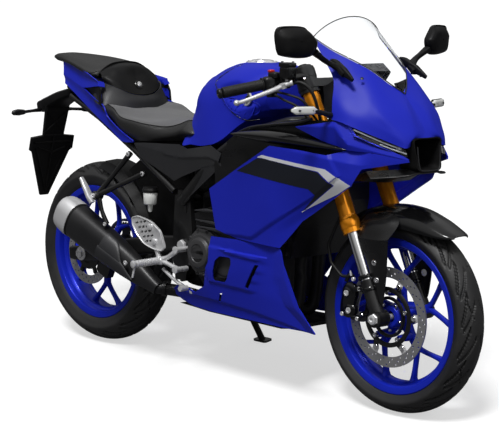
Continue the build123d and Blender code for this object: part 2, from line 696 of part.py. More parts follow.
tank_stations = [
    (-222, [(20, 905), (28, 870), (24, 840), (16, 832)]),
    (-190, [(48, 932), (66, 890), (66, 840), (50, 824)]),
    (-120, [(68, 956), (106, 918), (110, 850), (96, 818)]),
    (-90, [(72, 970), (116, 928), (130, 850), (152, 744)]),
    (-20, [(76, 996), (132, 946), (140, 870), (160, 744)]),
    (60, [(80, 1008), (142, 958), (148, 880), (166, 766)]),
    (150, [(80, 1008), (144, 958), (148, 890), (140, 828)]),
    (212, [(66, 996), (118, 950), (122, 900), (100, 862)]),
]
TANK_TOP = 1008
CAP_X = 78
with BuildPart() as fuel_tank:
    add(block(tank_stations))
save(fuel_tank, "fuel_tank")

CAP_RADIUS = 50
with BuildPart() as fuel_cap:
    with Locations((CAP_X, 0, TANK_TOP)):
        Cylinder(CAP_RADIUS, 6, align=(Align.CENTER, Align.CENTER, Align.MIN))
        Cylinder(CAP_RADIUS - 14, 11, align=(Align.CENTER, Align.CENTER, Align.MIN))
save(fuel_cap, "fuel_cap")

seat_stations = [
    (-124, [(50, 790), (94, 786), (110, 772), (104, 752)]),
    (-200, [(60, 812), (112, 800), (134, 776), (128, 744)]),
    (-300, [(70, 806), (130, 792), (156, 768), (148, 742)]),
    (-380, [(74, 832), (134, 816), (160, 790), (150, 748)]),
    (-440, [(80, 856), (140, 842), (163, 814), (152, 778)]),
    (-504, [(86, 862), (140, 850), (160, 834), (146, 814)]),
]
with BuildPart() as rider_seat:
    add(block(seat_stations))
save(rider_seat, "rider_seat")

pillion_stations = [
    (-418, [(46, 912), (84, 900), (92, 890), (60, 884)]),
    (-455, [(56, 946), (98, 928), (112, 900), (90, 886)]),
    (-505, [(58, 968), (108, 950), (128, 918), (108, 896)]),
    (-580, [(66, 982), (124, 950), (140, 926), (120, 908)]),
    (-700, [(66, 992), (106, 966), (112, 950), (96, 934)]),
    (-860, [(46, 1000), (56, 992), (58, 982), (46, 972)]),
    (-985, [(6, 992), (10, 988), (10, 982), (6, 978)]),
]
with BuildPart() as pillion_seat:
    add(block(pillion_stations))
save(pillion_seat, "pillion_seat")

trim_stations = [
    (-432, [(84, 882), (92, 880), (96, 872), (90, 866)]),
    (-508, [(104, 892), (122, 888), (134, 876), (110, 868)]),
    (-516, [(104, 893), (126, 888), (138, 856), (110, 842)]),
    (-600, [(108, 904), (124, 900), (128, 866), (104, 846)]),
    (-690, [(88, 928), (100, 924), (106, 884), (88, 866)]),
]
with BuildPart() as seat_trim:
    add(block(trim_stations))
save(seat_trim, "seat_trim")

tail_stations = [
    (-350, [(170, 800), (170, 760), (166, 730), (160, 700)]),
    (-500, [(172, 900), (172, 850), (166, 800), (156, 750)]),
    (-570, [(152, 950), (164, 900), (158, 840), (146, 780)]),
    (-660, [(124, 966), (138, 910), (132, 850), (118, 810)]),
    (-900, [(50, 990), (62, 960), (64, 920), (54, 870)]),
]
tail_outline = [(-892, 977), (-580, 934), (-560, 906), (-562, 848), (-512, 812), (-366, 726), (-430, 722),
                (-590, 802), (-850, 895)]
with BuildPart() as tail_cowl:
    add(skin(tail_stations, COWL_WALL))
    mirror(about=Plane.XZ)
    add(keep_inside(tail_outline), mode=Mode.INTERSECT)
save(tail_cowl, "tail_cowl")

with BuildPart() as tail_light:
    add(block([(-868, [(46, 966), (46, 934)]), (-916, [(30, 972), (30, 946)])]))
save(tail_light, "tail_light")

PLATE_HOLE_Y = 72.5
PLATE_HOLE_DROP = -135
PLATE_HOLE_RADIUS = 3.3
with BuildPart() as plate_holder:
    add(block([(-440, [(130, 766), (124, 752)]), (-600, [(116, 832), (110, 818)]),
               (-866, [(50, 906), (44, 878)])]))
    add(block([(-840, [(40, 880), (40, 852)]), (-1000, [(52, 832), (52, 790)]),
               (-1040, [(48, 822), (48, 776)])]))
    with BuildSketch(Plane((-1006, 0, 800), x_dir=(0, 1, 0), z_dir=(0.97, 0, -0.24))):
        Polygon((-46, 10), (46, 10), (40, -104), (86, -110), (86, -160), (74, -168), (16, -336), (-16, -336),
                (-74, -168), (-86, -160), (-86, -110), (-40, -104))
        with Locations((PLATE_HOLE_Y, PLATE_HOLE_DROP), (-PLATE_HOLE_Y, PLATE_HOLE_DROP)):
            Circle(PLATE_HOLE_RADIUS, mode=Mode.SUBTRACT)
    extrude(amount=14)
save(plate_holder, "plate_holder")


def signal_pair(root, stem_end, pod_end, pod_radius, stem_radius):
    """A turn signal each side: a stem, then a round-nosed pod."""
    with BuildPart() as pair:
        for side in SIDES:
            add(rod(mirrored(root, side), mirrored(stem_end, side), stem_radius))
            add(rod(mirrored(stem_end, side), mirrored(pod_end, side), pod_radius))
            with Locations(mirrored(pod_end, side)):
                Sphere(pod_radius)
    return pair


# ---- Fairing -----------------------------------------------------------------------------

nose_stations = [
    (434, [(146, 1112), (162, 1050), (182, 985), (194, 930)]),
    (545, [(110, 1048), (164, 986), (188, 920), (200, 868)]),
    (600, [(88, 1020), (152, 958), (186, 905), (198, 862)]),
    (650, [(42, 972), (136, 925), (172, 880), (178, 842)]),
    (678, [(-1, 944), (126, 908), (156, 866), (162, 830)]),
    (757, [(-1, 826), (58, 824), (84, 812), (98, 800)]),
]
nose_outline = [(430, 1116), (430, 1100), (545, 990), (574, 872), (622, 864), (757, 804), (790, 804),
                (790, 1116)]
with BuildPart() as upper_cowl:
    add(skin(nose_stations, COWL_WALL))
    mirror(about=Plane.XZ)
    add(keep_inside(nose_outline), mode=Mode.INTERSECT)
save(upper_cowl, "upper_cowl")

screen_stations = [
    (444, [(-1, 1166), (60, 1156), (112, 1130), (138, 1108)]),
    (500, [(-1, 1134), (56, 1122), (100, 1092), (119, 1068)]),
    (597, [(-1, 1046), (40, 1040), (68, 1026), (78, 1016)]),
    (648, [(-1, 986), (16, 984), (28, 980), (32, 975)]),
    (662, [(-1, 969), (10, 968), (16, 966), (22, 963)]),
]
with BuildPart() as windscreen:
    add(skin(screen_stations, COWL_WALL))
    mirror(about=Plane.XZ)
save(windscreen, "windscreen")

flank_stations = [
    (60, [(205, 880), (214, 800), (216, 770), (214, 690), (206, 600), (195, 470)]),
    (350, [(222, 880), (226, 800), (226, 778), (222, 690), (214, 600), (198, 470)]),
    (450, [(212, 880), (220, 800), (222, 770), (218, 690), (196, 590), (180, 470)]),
    (560, [(206, 880), (212, 800), (214, 768), (206, 690), (176, 590), (150, 480)]),
    (640, [(190, 870), (194, 810), (190, 760), (186, 690), (150, 600), (120, 500)]),
    (700, [(140, 850), (146, 800), (148, 755), (140, 700), (110, 620), (90, 520)]),
    (780, [(80, 830), (84, 790), (84, 760), (74, 720), (60, 640), (50, 560)]),
]
flank_outline = [(350, 779), (460, 776), (565, 768), (622, 784), (445, 838), (445, 843), (590, 868),
                 (622, 859), (650, 826), (762, 772), (776, 761), (665, 735), (643, 685), (452, 560),
                 (366, 470), (182, 477), (91, 497), (70, 622)]
with BuildPart() as side_cowls:
    add(skin(flank_stations, COWL_WALL))
    mirror(about=Plane.XZ)
    add(keep_inside(flank_outline), mode=Mode.INTERSECT)
save(side_cowls, "side_cowls")

belly_stations = [
    (-196, [(132, 300), (130, 270), (122, 250), (114, 214)]),
    (-80, [(160, 330), (156, 290), (146, 262), (130, 214)]),
    (20, [(194, 450), (188, 360), (172, 300), (144, 214)]),
    (200, [(196, 466), (184, 380), (170, 310), (146, 214)]),
    (372, [(178, 462), (176, 380), (174, 310), (160, 214)]),
    (512, [(176, 462), (176, 380), (175, 310), (173, 214)]),
]
belly_outline = [(-10, 462), (60, 476), (180, 474), (364, 466), (372, 452), (376, 420), (440, 300),
                 (512, 226), (440, 222), (255, 217), (-90, 217), (-190, 240), (-190, 264), (-140, 290),
                 (-60, 268), (4, 300), (24, 356), (50, 384), (56, 414), (40, 446)]
window_outline = [(66, 392), (84, 402), (122, 404), (128, 384), (118, 334), (72, 330), (62, 344)]
slot_outline = [(258, 404), (272, 406), (222, 322), (206, 320)]
with BuildPart() as belly_cowl:
    add(skin(belly_stations, COWL_WALL))
    mirror(about=Plane.XZ)
    add(keep_inside(belly_outline), mode=Mode.INTERSECT)
    for opening in (window_outline, slot_outline):
        add(keep_inside(opening), mode=Mode.SUBTRACT)
    with Locations((-130, 150, 250)):
        Box(150, 110, 120, mode=Mode.SUBTRACT)
save(belly_cowl, "belly_cowl")

PAN_TOP = 214
with BuildPart() as belly_pan:
    add(block([(-180, [(108, PAN_TOP), (60, 200)]), (-80, [(124, PAN_TOP), (70, 194)]),
               (255, [(140, PAN_TOP), (70, 190)]), (338, [(146, PAN_TOP), (80, 204)])]))
    add(block([(-190, [(104, 224), (60, PAN_TOP - 7)]), (255, [(132, 224), (72, PAN_TOP - 14)]),
               (346, [(138, 224), (82, PAN_TOP)])]), mode=Mode.SUBTRACT)
save(belly_pan, "belly_pan")

blade_stations = [
    (160, [(218, 800), (221, 797), (221, 794)]),
    (260, [(214, 813), (226, 803), (226, 788)]),
    (400, [(212, 819), (229, 802), (229, 781)]),
    (520, [(208, 805), (222, 792), (222, 778)]),
    (600, [(188, 790), (197, 786), (197, 783)]),
]
inner_outline = [(104, 740), (118, 776), (170, 802), (330, 836), (500, 862), (560, 866), (600, 790),
                 (560, 760), (330, 760), (130, 650), (104, 690)]
cockpit_outline = [(500, 872), (566, 872), (538, 984), (512, 1002)]
with BuildPart() as inner_panels:
    add(skin(blade_stations, 6))
    mirror(about=Plane.XZ)
    for side in SIDES:
        add(plate(inner_outline, side * 186, side * 190))
        add(plate(cockpit_outline, side * 178, side * 182))
        add(plate([(500, 856), (560, 860), (556, 882), (504, 882)], side * 178, side * 188))
save(inner_panels, "inner_panels")

cover_stations = [
    (-385, [(150, 770), (150, 690), (150, 560)]),
    (-100, [(173, 770), (173, 690), (173, 560)]),
    (112, [(188, 770), (188, 690), (188, 560)]),
]
cover_outline = [(-370, 724), (-130, 733), (-82, 729), (34, 742), (90, 726), (72, 690), (-106, 572),
                 (-112, 586), (-8, 672), (-150, 622), (-262, 656), (-336, 682)]
with BuildPart() as side_covers:
    add(skin(cover_stations, COWL_WALL))
    mirror(about=Plane.XZ)
    add(keep_inside(cover_outline), mode=Mode.INTERSECT)
save(side_covers, "side_covers")

lamp_stations = [
    (632, [(170, 852), (172, 833), (138, 838), (136, 854)]),
    (700, [(124, 818), (124, 801), (92, 806), (90, 822)]),
    (758, [(78, 792), (78, 779), (60, 780), (60, 794)]),
]
with BuildPart() as headlamps:
    for x, corners in lamp_stations:
        with BuildSketch(across(x)):
            Polygon(*corners)
    loft(ruled=True)
    mirror(about=Plane.XZ)
save(headlamps, "headlamps")

with BuildPart() as intake_duct:
    add(block([(690, [(44, 812), (44, 728)]), (770, [(54, 816), (46, 726)])]))
    add(block([(700, [(38, 806), (38, 734)]), (780, [(48, 810), (40, 732)])]), mode=Mode.SUBTRACT)
    with BuildSketch(Plane.XY.offset(712)):
        Polygon((684, 146), (776, 56), (776, -56), (684, -146), (640, -110), (640, 110))
    extrude(amount=4)
    with BuildSketch(Plane.XY.offset(716)):
        with Locations((720, 0)):
            Rectangle(50, 70)
    extrude(amount=12)
save(intake_duct, "intake_duct")

METER = Vector(520, 0, 985)
with BuildPart() as meter:
    with BuildSketch(Plane(METER, x_dir=(0, 1, 0), z_dir=(-0.8, 0, 0.6))):
        RectangleRounded(150, 76, 12)
    extrude(amount=18, both=True)
    add(rod(METER + (4, 0, -10), Vector(612, 0, 880), 9))
    add(rod(Vector(610, -90, 880), Vector(610, 90, 880), 8))
    for side in SIDES:
        add(tube([(452, side * 22, 872), (560, side * 60, 880), (646, side * 96, 880)], 8, 40))
save(meter, "meter")

mirror_outline = [(226, 1062), (256, 1134), (300, 1148), (384, 1142), (380, 1104), (352, 1064), (240, 1050)]
mirror_stem = [(548, 166, 1018), (543, 196, 1036), (538, 250, 1066)]
MIRROR_X = 520
with BuildPart() as mirrors:
    for side in SIDES:
        with BuildSketch(across(MIRROR_X)):
            Polygon(*[(side * y, z) for y, z in mirror_outline])
        extrude(amount=34)
        stem = [mirrored(Vector(*point), side) for point in mirror_stem]
        add(tube(stem, 9, 40))
        add(rod(mirrored(Vector(560, 158, 1012), side), mirrored(Vector(544, 172, 1022), side), 12))
save(mirrors, "mirrors")

front_signal = (Vector(570, 203, 886), Vector(560, 258, 897), Vector(556, 322, 901), 15, 7)
rear_signal = (Vector(-1016, 54, 790), Vector(-1004, 132, 786), Vector(-998, 178, 786), 12, 6)
save(signal_pair(*front_signal), "front_turn_signals")
save(signal_pair(*rear_signal), "rear_turn_signals")

# ---- Foot controls and brackets ----------------------------------------------------------

HEEL_Y = 188
heel_outline = [(-328, 486), (-306, 500), (-252, 500), (-192, 464), (-150, 404), (-214, 392), (-264, 404),
                (-296, 430)]
bracket_outline = [(-112, 416), (-100, 400), (-160, 372), (-104, 348), (-112, 332), (-180, 346), (-226, 384),
                   (-214, 396), (-176, 380)]
with BuildPart() as heel_plates:
    for side in SIDES:
        add(plate(heel_outline, side * HEEL_Y, side * (HEEL_Y + 4)))
        with BuildSketch(beside(side * (HEEL_Y - 2))):
            for row in range(3):
                for column in range(5):
                    with Locations((-300 + 19 * row + 12 * column, 478 - 16 * column + 5 * row)):
                        SlotOverall(12, 6, rotation=40)
        extrude(amount=8, dir=(0, side, 0), mode=Mode.SUBTRACT)
    for side in SIDES:
        add(plate(bracket_outline, side * (HEEL_Y - 16), side * HEEL_Y))
        for x, z in ((-112, 402), (-112, 344)):
            add(rod(Vector(x, side * 139, z), Vector(x, side * (HEEL_Y - 16), z), 8))
save(heel_plates, "heel_plates")

PEG_ROOT = Vector(-192, 178, 360)
PEG_TIP = Vector(-205, 292, 355)
pedal_points = [(-196, -168, 330), (-150, -168, 306), (-96, -176, 290), (-52, -196, 290)]
shift_points = [(-196, 168, 330), (-150, 168, 312), (-80, 180, 300), (-24, 186, 306)]
with BuildPart() as foot_levers:
    for points in (pedal_points, shift_points):
        add(tube(points, 6, 30))
        end = Vector(*points[-1])
        side = 1 if end.Y > 0 else -1
        add(rod(end + (0, -side * 4, 0), end + (0, side * 26, 0), 9))
save(foot_levers, "foot_levers")

PILLION_JOINT = Vector(-516, 186, 540)
with BuildPart() as pillion_brackets:
    for side in SIDES:
        joint = mirrored(PILLION_JOINT, side)
        add(rod(mirrored(Vector(-318, 146, 630), side), joint, 8))
        add(rod(mirrored(Vector(-402, 138, 690), side), joint, 8))
        add(rod(joint + (0, side * 12, 0), joint + (0, -side * 8, 0), 14))
    add(rod(mirrored(PILLION_JOINT, -1), Vector(-478, -178, 446), 7))
save(pillion_brackets, "pillion_brackets")

with BuildPart() as foot_pegs:
    for side in SIDES:
        add(rod(mirrored(PEG_ROOT, side) + (0, side * 12, 0), mirrored(PEG_TIP, side), 11))
        feeler = mirrored(PEG_TIP, side)
        add(rod(feeler + (0, -side * 8, -8), feeler + (-3, side * 4, -44), 3.5))
        joint = mirrored(PILLION_JOINT, side)
        add(rod(joint + (-8, side * 22, -20), joint + (-58, side * 26, 54), 9))
save(foot_pegs, "foot_pegs")

with BuildPart() as rear_reservoir:
    with Locations((-290, -146, 530)):
        Cylinder(23, 44, align=(Align.CENTER, Align.CENTER, Align.MIN))
        Cylinder(8, 24, align=(Align.CENTER, Align.CENTER, Align.MAX))
    with Locations((-290, -146, 574)):
        Cylinder(26, 14, align=(Align.CENTER, Align.CENTER, Align.MIN))
save(rear_reservoir, "rear_reservoir")

HUGGER_RADIUS = REAR_TYRE_RADIUS + 10
with BuildPart() as rear_hugger:
    hugger_line = [(-1, HUGGER_RADIUS + 4), (48, HUGGER_RADIUS), (76, HUGGER_RADIUS - 22)]
    start = Plane(REAR_AXLE, x_dir=(0, 1, 0), z_dir=(sin(radians(20)), 0, -cos(radians(20))))
    with BuildSketch(start):
        Polygon(*hugger_line, *reversed(moved_in(hugger_line, -3)))
        mirror(about=Plane.YZ)
    revolve(axis=Axis(REAR_AXLE, (0, -1, 0)), revolution_arc=62)
save(rear_hugger, "rear_hugger")

with BuildPart() as rear_caliper:
    with BuildSketch(beside(REAR_DISC_Y - 7)):
        with Locations((REAR_AXLE.X + 88, REAR_AXLE.Z - 44)):
            RectangleRounded(64, 52, 12, rotation=-26)
    extrude(amount=28, dir=(0, 1, 0))
    with BuildSketch(beside(REAR_DISC_Y, REAR_AXLE)):
        Circle(REAR_DISC_RADIUS + 5)
    extrude(amount=DISC_THICKNESS / 2 + 3, both=True, mode=Mode.SUBTRACT)
save(rear_caliper, "rear_caliper")
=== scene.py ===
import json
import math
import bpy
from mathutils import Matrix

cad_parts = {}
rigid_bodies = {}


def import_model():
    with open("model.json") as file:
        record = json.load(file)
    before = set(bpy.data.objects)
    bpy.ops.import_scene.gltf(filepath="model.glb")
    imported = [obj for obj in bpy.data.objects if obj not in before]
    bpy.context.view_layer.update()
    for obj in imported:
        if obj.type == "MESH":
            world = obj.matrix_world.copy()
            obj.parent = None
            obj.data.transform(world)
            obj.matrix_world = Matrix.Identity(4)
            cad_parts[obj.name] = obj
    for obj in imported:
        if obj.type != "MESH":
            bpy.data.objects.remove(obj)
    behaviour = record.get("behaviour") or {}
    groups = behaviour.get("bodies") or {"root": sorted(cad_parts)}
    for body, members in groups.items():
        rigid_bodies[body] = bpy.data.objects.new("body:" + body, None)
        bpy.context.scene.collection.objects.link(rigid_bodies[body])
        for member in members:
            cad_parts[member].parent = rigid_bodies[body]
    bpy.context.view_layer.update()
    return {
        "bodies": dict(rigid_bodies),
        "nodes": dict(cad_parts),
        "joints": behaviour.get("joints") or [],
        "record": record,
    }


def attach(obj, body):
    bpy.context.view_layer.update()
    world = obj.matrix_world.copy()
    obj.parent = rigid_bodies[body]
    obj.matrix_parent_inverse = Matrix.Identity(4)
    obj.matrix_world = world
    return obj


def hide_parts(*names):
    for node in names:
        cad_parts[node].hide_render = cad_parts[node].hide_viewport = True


bl_info = {
    "name": "Sport bike dresser",
    "version": (1, 0, 0),
    "blender": (4, 5, 0),
    "location": "View3D > Sidebar > Sport bike",
    "description": "Builds the bodywork, wheels, controls and finishes of a parked sport bike on its packed frame",
    "category": "Object",
}

import bpy
import numpy as np
from mathutils import Matrix, Vector

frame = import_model()

# Shapes are worked out upright, in millimetres: X forward, Y to the rider's left, Z up, with the
# origin on the ground midway between the axles. PARK leans them onto the side stand, in metres.
LEAN = math.radians(9)
PARK = Matrix.Translation((0.052, -0.1555, 0.0008)) @ Matrix.Rotation(-LEAN, 4, "X")
MM = 0.001
FRONT_AXLE = np.array([690.0, 0.0, 293.0])
REAR_AXLE = np.array([-690.0, 0.0, 314.0])
RAKE = math.radians(25)
FORK_WAY = np.array([-math.sin(RAKE), 0, math.cos(RAKE)])
FORK_SPREAD = 100  # from the middle plane to a fork leg
SIDES = (1, -1)
ACROSS, UP = (0, 1, 0), (0, 0, 1)


# ---- Shape helpers ----

def parked(points):
    """Points of the upright bike in millimetres, leaned and moved to where it stands, in metres."""
    turn = np.array(PARK)
    return np.asarray(points, float) * MM @ turn[:3, :3].T + turn[:3, 3]


def smooth(points, steps, closed=False):
    """Cardinal cubic through the points along the first axis, with steps pieces per span.
    Each span is the cubic that leaves a point along half the chord of its two neighbours."""
    points = np.asarray(points, float)
    if closed:
        before, after = np.roll(points, 1, 0), np.roll(points, -1, 0)
        start, end, further = points, after, np.roll(points, -2, 0)
    else:
        ends = np.concatenate([2 * points[:1] - points[1:2], points, 2 * points[-1:] - points[-2:-1]])
        before, start, end, further = ends[:-3], ends[1:-2], ends[2:-1], ends[3:]
    t = (np.arange(steps) / steps).reshape((1, steps) + (1,) * (points.ndim - 1))
    a, b, c, d = [part[:, None] for part in (before, start, end, further)]
    curve = 0.5 * (2 * b + (c - a) * t + (2 * a - 5 * b + 4 * c - d) * t ** 2
                   + (3 * b - a - 3 * c + d) * t ** 3)
    curve = curve.reshape((-1,) + points.shape[1:])
    return curve if closed else np.concatenate([curve, points[-1:]])


def straight(points, steps):
    """Straight runs through the points along the first axis, with steps pieces per run."""
    points = np.asarray(points, float)
    t = (np.arange(steps) / steps).reshape((1, steps) + (1,) * (points.ndim - 1))
    runs = points[:-1, None] * (1 - t) + points[1:, None] * t
    return np.concatenate([runs.reshape((-1,) + points.shape[1:]), points[-1:]])


def net(rows, across, along):
    """A surface through a net of points: cubic along each row, then cubic from row to row."""
    rows = smooth(np.swapaxes(np.asarray(rows, float), 0, 1), across)
    return smooth(np.swapaxes(rows, 0, 1), along)


def cells(rows, columns, loop_u, loop_v, flip):
    """The quads of a grid of points, as rows of four numbers; a loop joins its last line to its first."""
    i, j = np.meshgrid(np.arange(rows if loop_u else rows - 1),
                       np.arange(columns if loop_v else columns - 1), indexing="ij")
    k, m = (i + 1) % rows, (j + 1) % columns
    quads = np.stack([i * columns + j, k * columns + j, k * columns + m, i * columns + m], -1).reshape(-1, 4)
    return quads[:, ::-1] if flip else quads


def patch(grid, loop_u=False, loop_v=False, flip=False, caps=False):
    """One grid as (points, faces). caps closes the first and last row of a loop with fans."""
    grid = np.asarray(grid, float)
    rows, columns = grid.shape[:2]
    points = grid.reshape(-1, 3)
    faces = cells(rows, columns, loop_u, loop_v, flip).tolist()
    if caps:
        for row, turned in ((0, flip), (rows - 1, not flip)):
            ring = np.arange(columns) + row * columns
            after = np.roll(ring, -1)
            centre = np.full(columns, len(points))
            points = np.concatenate([points, grid[row].mean(0, keepdims=True)])
            faces += np.stack([after, ring, centre] if turned else [ring, after, centre], -1).tolist()
    return points, faces


def sheet(grid):
    """One open grid that faces the other way, as a left side does whose rows run forward."""
    return patch(grid, flip=True)


def other_side(part):
    """The mirror image of (points, faces) on the bike's other side."""
    points, faces = part
    return points * (1, -1, 1), [face[::-1] for face in faces]


def both(*parts):
    """Left parts together with their mirror images."""
    return [copy for part in parts for copy in (part, other_side(part))]


def sweep(path, section, sizes, up=UP):
    """A profile carried along a path: at each point it stands square to the path, upright to up,
    and is scaled by (wide, high) from sizes."""
    along = np.gradient(path, axis=0)
    along /= np.linalg.norm(along, axis=1, keepdims=True)
    side = np.cross(np.broadcast_to(np.asarray(up, float), along.shape), along)
    side /= np.linalg.norm(side, axis=1, keepdims=True)
    top = np.cross(along, side)
    sizes = np.broadcast_to(np.asarray(sizes, float), (len(path), 2))
    grid = (path[:, None] + side[:, None] * (section[None, :, :1] * sizes[:, None, :1])
            + top[:, None] * (section[None, :, 1:] * sizes[:, None, 1:]))
    return patch(grid, loop_v=True, flip=True, caps=True)


def oval(count=16, power=2):
    """A closed rounded outline of size 1: a circle for power 2, nearer a square above it."""
    angle = np.linspace(0, 2 * np.pi, count, endpoint=False)
    c, s = np.cos(angle), np.sin(angle)
    reach = (np.abs(c) ** power + np.abs(s) ** power) ** (-1 / power)
    return np.stack([c * reach, s * reach], -1)


def limb(points, sizes, steps, section, up=UP):
    """A profile carried along a smooth line through the points, while its (wide, high) size runs
    straight from each point's size to the next one's."""
    return sweep(smooth(points, steps), section, straight(sizes, steps), up)


def pipe(points, radius, steps, count):
    """A round tube through the points; radius is one number or one for each point."""
    path = smooth(points, steps)
    radii = np.broadcast_to(np.asarray(radius, float), (len(points),))
    radii = straight(radii[:, None], steps)
    run = path[-1] - path[0]
    up = UP if abs(run[2]) < 0.8 * np.linalg.norm(run) else ACROSS
    return sweep(path, oval(count), np.repeat(radii, 2, 1), up)


def turned(profile, centre, axis=ACROSS, count=48, closed=False):
    """A profile of (distance along the axis, radius) turned once about an axis through centre."""
    profile = np.asarray(profile, float)
    axis = np.asarray(axis, float) / np.linalg.norm(axis)
    helper = np.array([1.0, 0, 0]) if abs(axis[0]) < 0.8 else np.array([0, 1.0, 0])
    first = np.cross(axis, helper)
    first /= np.linalg.norm(first)
    second = np.cross(axis, first)
    angle = np.linspace(0, 2 * np.pi, count, endpoint=False)
    ring = np.cos(angle)[:, None] * first + np.sin(angle)[:, None] * second
    grid = np.asarray(centre, float) + profile[:, None, :1] * axis + profile[:, None, 1:] * ring[None]
    return patch(grid, loop_u=closed, loop_v=True, caps=not closed)


def block(centre, size, power=5, axes=None, rows=9, count=28):
    """A box with soft edges: a superellipsoid of the given full size about centre."""
    lift = np.linspace(-np.pi / 2, np.pi / 2, rows * 2 + 1)
    angle = np.linspace(0, 2 * np.pi, count, endpoint=False)
    p = 2 / power
    s = np.sin(lift)[:, None]
    ring = np.abs(np.cos(lift))[:, None] ** p
    x = ring * np.sign(np.cos(angle)) * np.abs(np.cos(angle)) ** p
    y = ring * np.sign(np.sin(angle)) * np.abs(np.sin(angle)) ** p
    z = np.sign(s) * np.abs(s) ** p + 0 * angle
    grid = np.stack([x, y, z], -1) * np.asarray(size, float) / 2
    if axes is not None:
        grid = grid @ np.asarray(axes, float)
    return patch(grid + np.asarray(centre, float), loop_v=True, flip=True)


def strip(top, bottom, steps, rows):
    """A grid between two lines of (x, z) points with the same count; each pair keeps its corner."""
    low, high = straight(bottom, steps), straight(top, steps)
    t = np.linspace(0, 1, rows)[None, :, None]
    return low[:, None] * (1 - t) + high[:, None] * t


def stations(table):
    """A side height y(x, z) through upright lines of (y, z) at several x: between two heights and
    between two stations it runs straight, and two running averages keep its folds soft."""
    reach_along, reach_up = 14, 2  # of the averages: in mm along x, and in levels along z
    xs = np.array([x for x, line in table], float)
    levels = np.linspace(180, 1180, 251)
    columns = []
    for x, line in table:
        line = np.array(sorted(line, key=lambda point: point[1]), float)
        columns.append(np.interp(levels, line[:, 1], line[:, 0]))
    wide = np.linspace(xs[0], xs[-1], 241)
    columns = np.array(columns)
    lower = np.clip(np.searchsorted(xs, wide, side="right") - 1, 0, len(xs) - 2)
    t = ((wide - xs[lower]) / (xs[lower + 1] - xs[lower]))[:, None]
    heights = columns[lower] * (1 - t) + columns[lower + 1] * t

    def ease(values, reach):
        padded = np.pad(values, ((reach, reach), (0, 0)), mode="reflect", reflect_type="odd")
        total = np.cumsum(np.concatenate([np.zeros((1, values.shape[1])), padded]), axis=0)
        return (total[2 * reach + 1:] - total[:-2 * reach - 1]) / (2 * reach + 1)

    along = max(1, int(round(reach_along / (wide[1] - wide[0]))))
    heights = ease(ease(heights, along), along)
    heights = ease(ease(heights.T, reach_up), reach_up).T

    def height(x, z):
        i = np.clip((x - wide[0]) / (wide[1] - wide[0]), 0, len(wide) - 1.001)
        j = np.clip((z - levels[0]) / (levels[1] - levels[0]), 0, len(levels) - 1.001)
        i0, j0 = i.astype(int), j.astype(int)
        a, b = i - i0, j - j0
        return ((heights[i0, j0] * (1 - b) + heights[i0, j0 + 1] * b) * (1 - a)
                + (heights[i0 + 1, j0] * (1 - b) + heights[i0 + 1, j0 + 1] * b) * a)

    return height


def shrunk(ring, rows, axis, middle):
    """An outline shrunk towards middle, once for each row of (distance along the axis, size)."""
    return np.stack([np.insert(middle + (ring - middle) * size, axis, along, axis=1) for along, size in rows])


def inside(x, z, corners):
    """How far (x, z) lies inside a shape with all corners bulging out, negative outside it.
    It is the least distance to any of its straight edges."""
    corners = np.asarray(corners, float)
    edge = np.roll(corners, -1, 0) - corners
    area = np.sum(corners[:, 0] * np.roll(corners[:, 1], -1) - np.roll(corners[:, 0], -1) * corners[:, 1])
    normal = np.stack([-edge[:, 1], edge[:, 0]], -1) * np.sign(area)
    normal /= np.linalg.norm(normal, axis=1, keepdims=True)
    reach = [(x - c[0]) * n[0] + (z - c[1]) * n[1] for c, n in zip(corners, normal)]
    return np.min(reach, axis=0)


def eased(value, low, high):
    """0 below low, 1 above high, and a soft S curve between them."""
    t = np.clip((value - low) / (high - low), 0, 1)
    return t * t * (3 - 2 * t)


def draped(flat, height, lift=0):
    """A grid of (x, z) laid onto a side height: y comes from height(x, z) plus lift."""
    return np.stack([flat[..., 0], height(flat[..., 0], flat[..., 1]) + lift, flat[..., 1]], -1)


# ---- Making pieces ----

def linked(name, data):
    """A new object with the data, linked into the scene."""
    obj = bpy.data.objects.new(name, data)
    bpy.context.scene.collection.objects.link(obj)
    return obj


def new_object(name, parts):
    """Join (points, faces) parts into one mesh object, parked where the bike stands."""
    points, faces, count = [], [], 0
    for more_points, more_faces in parts:
        points.append(more_points)
        faces += [[index + count for index in face] for face in more_faces]
        count += len(more_points)
    mesh = bpy.data.meshes.new(name)
    mesh.from_pydata(parked(np.concatenate(points)).tolist(), [], faces)
    mesh.update()
    return linked(name, mesh)


def piece(name, parts, material, body="chassis", replaces="", wall=0, sharp=40, merge=0.02, cut=None):
    """One piece of the bike: its parts are welded within merge mm, given a wall inwards, cut by a
    cutter, shaded smooth up to an edge of sharp degrees, and hung on a body."""
    obj = new_object(name, parts)
    weld = obj.modifiers.new("weld", "WELD")
    weld.merge_threshold = merge * MM
    if wall:
        shell = obj.modifiers.new("wall", "SOLIDIFY")
        shell.thickness, shell.offset = wall * MM, -1
    if cut is not None:
        hole = obj.modifiers.new("openings", "BOOLEAN")
        hole.operation, hole.solver, hole.object = "DIFFERENCE", "EXACT", cut
    settle(obj)
    if cut is not None:
        bpy.data.objects.remove(cut)
    obj.data.shade_smooth()
    obj.data.set_sharp_from_angle(angle=math.radians(sharp))
    obj.data.materials.clear()
    obj.data.materials.append(finish(material))
    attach(obj, body)
    if replaces:
        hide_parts(replaces)
    return obj


def settle(obj):
    """Apply every modifier of the object to its mesh."""
    bpy.context.view_layer.update()
    ready = obj.evaluated_get(bpy.context.evaluated_depsgraph_get())
    mesh = bpy.data.meshes.new_from_object(ready)
    obj.modifiers.clear()
    obj.data = mesh


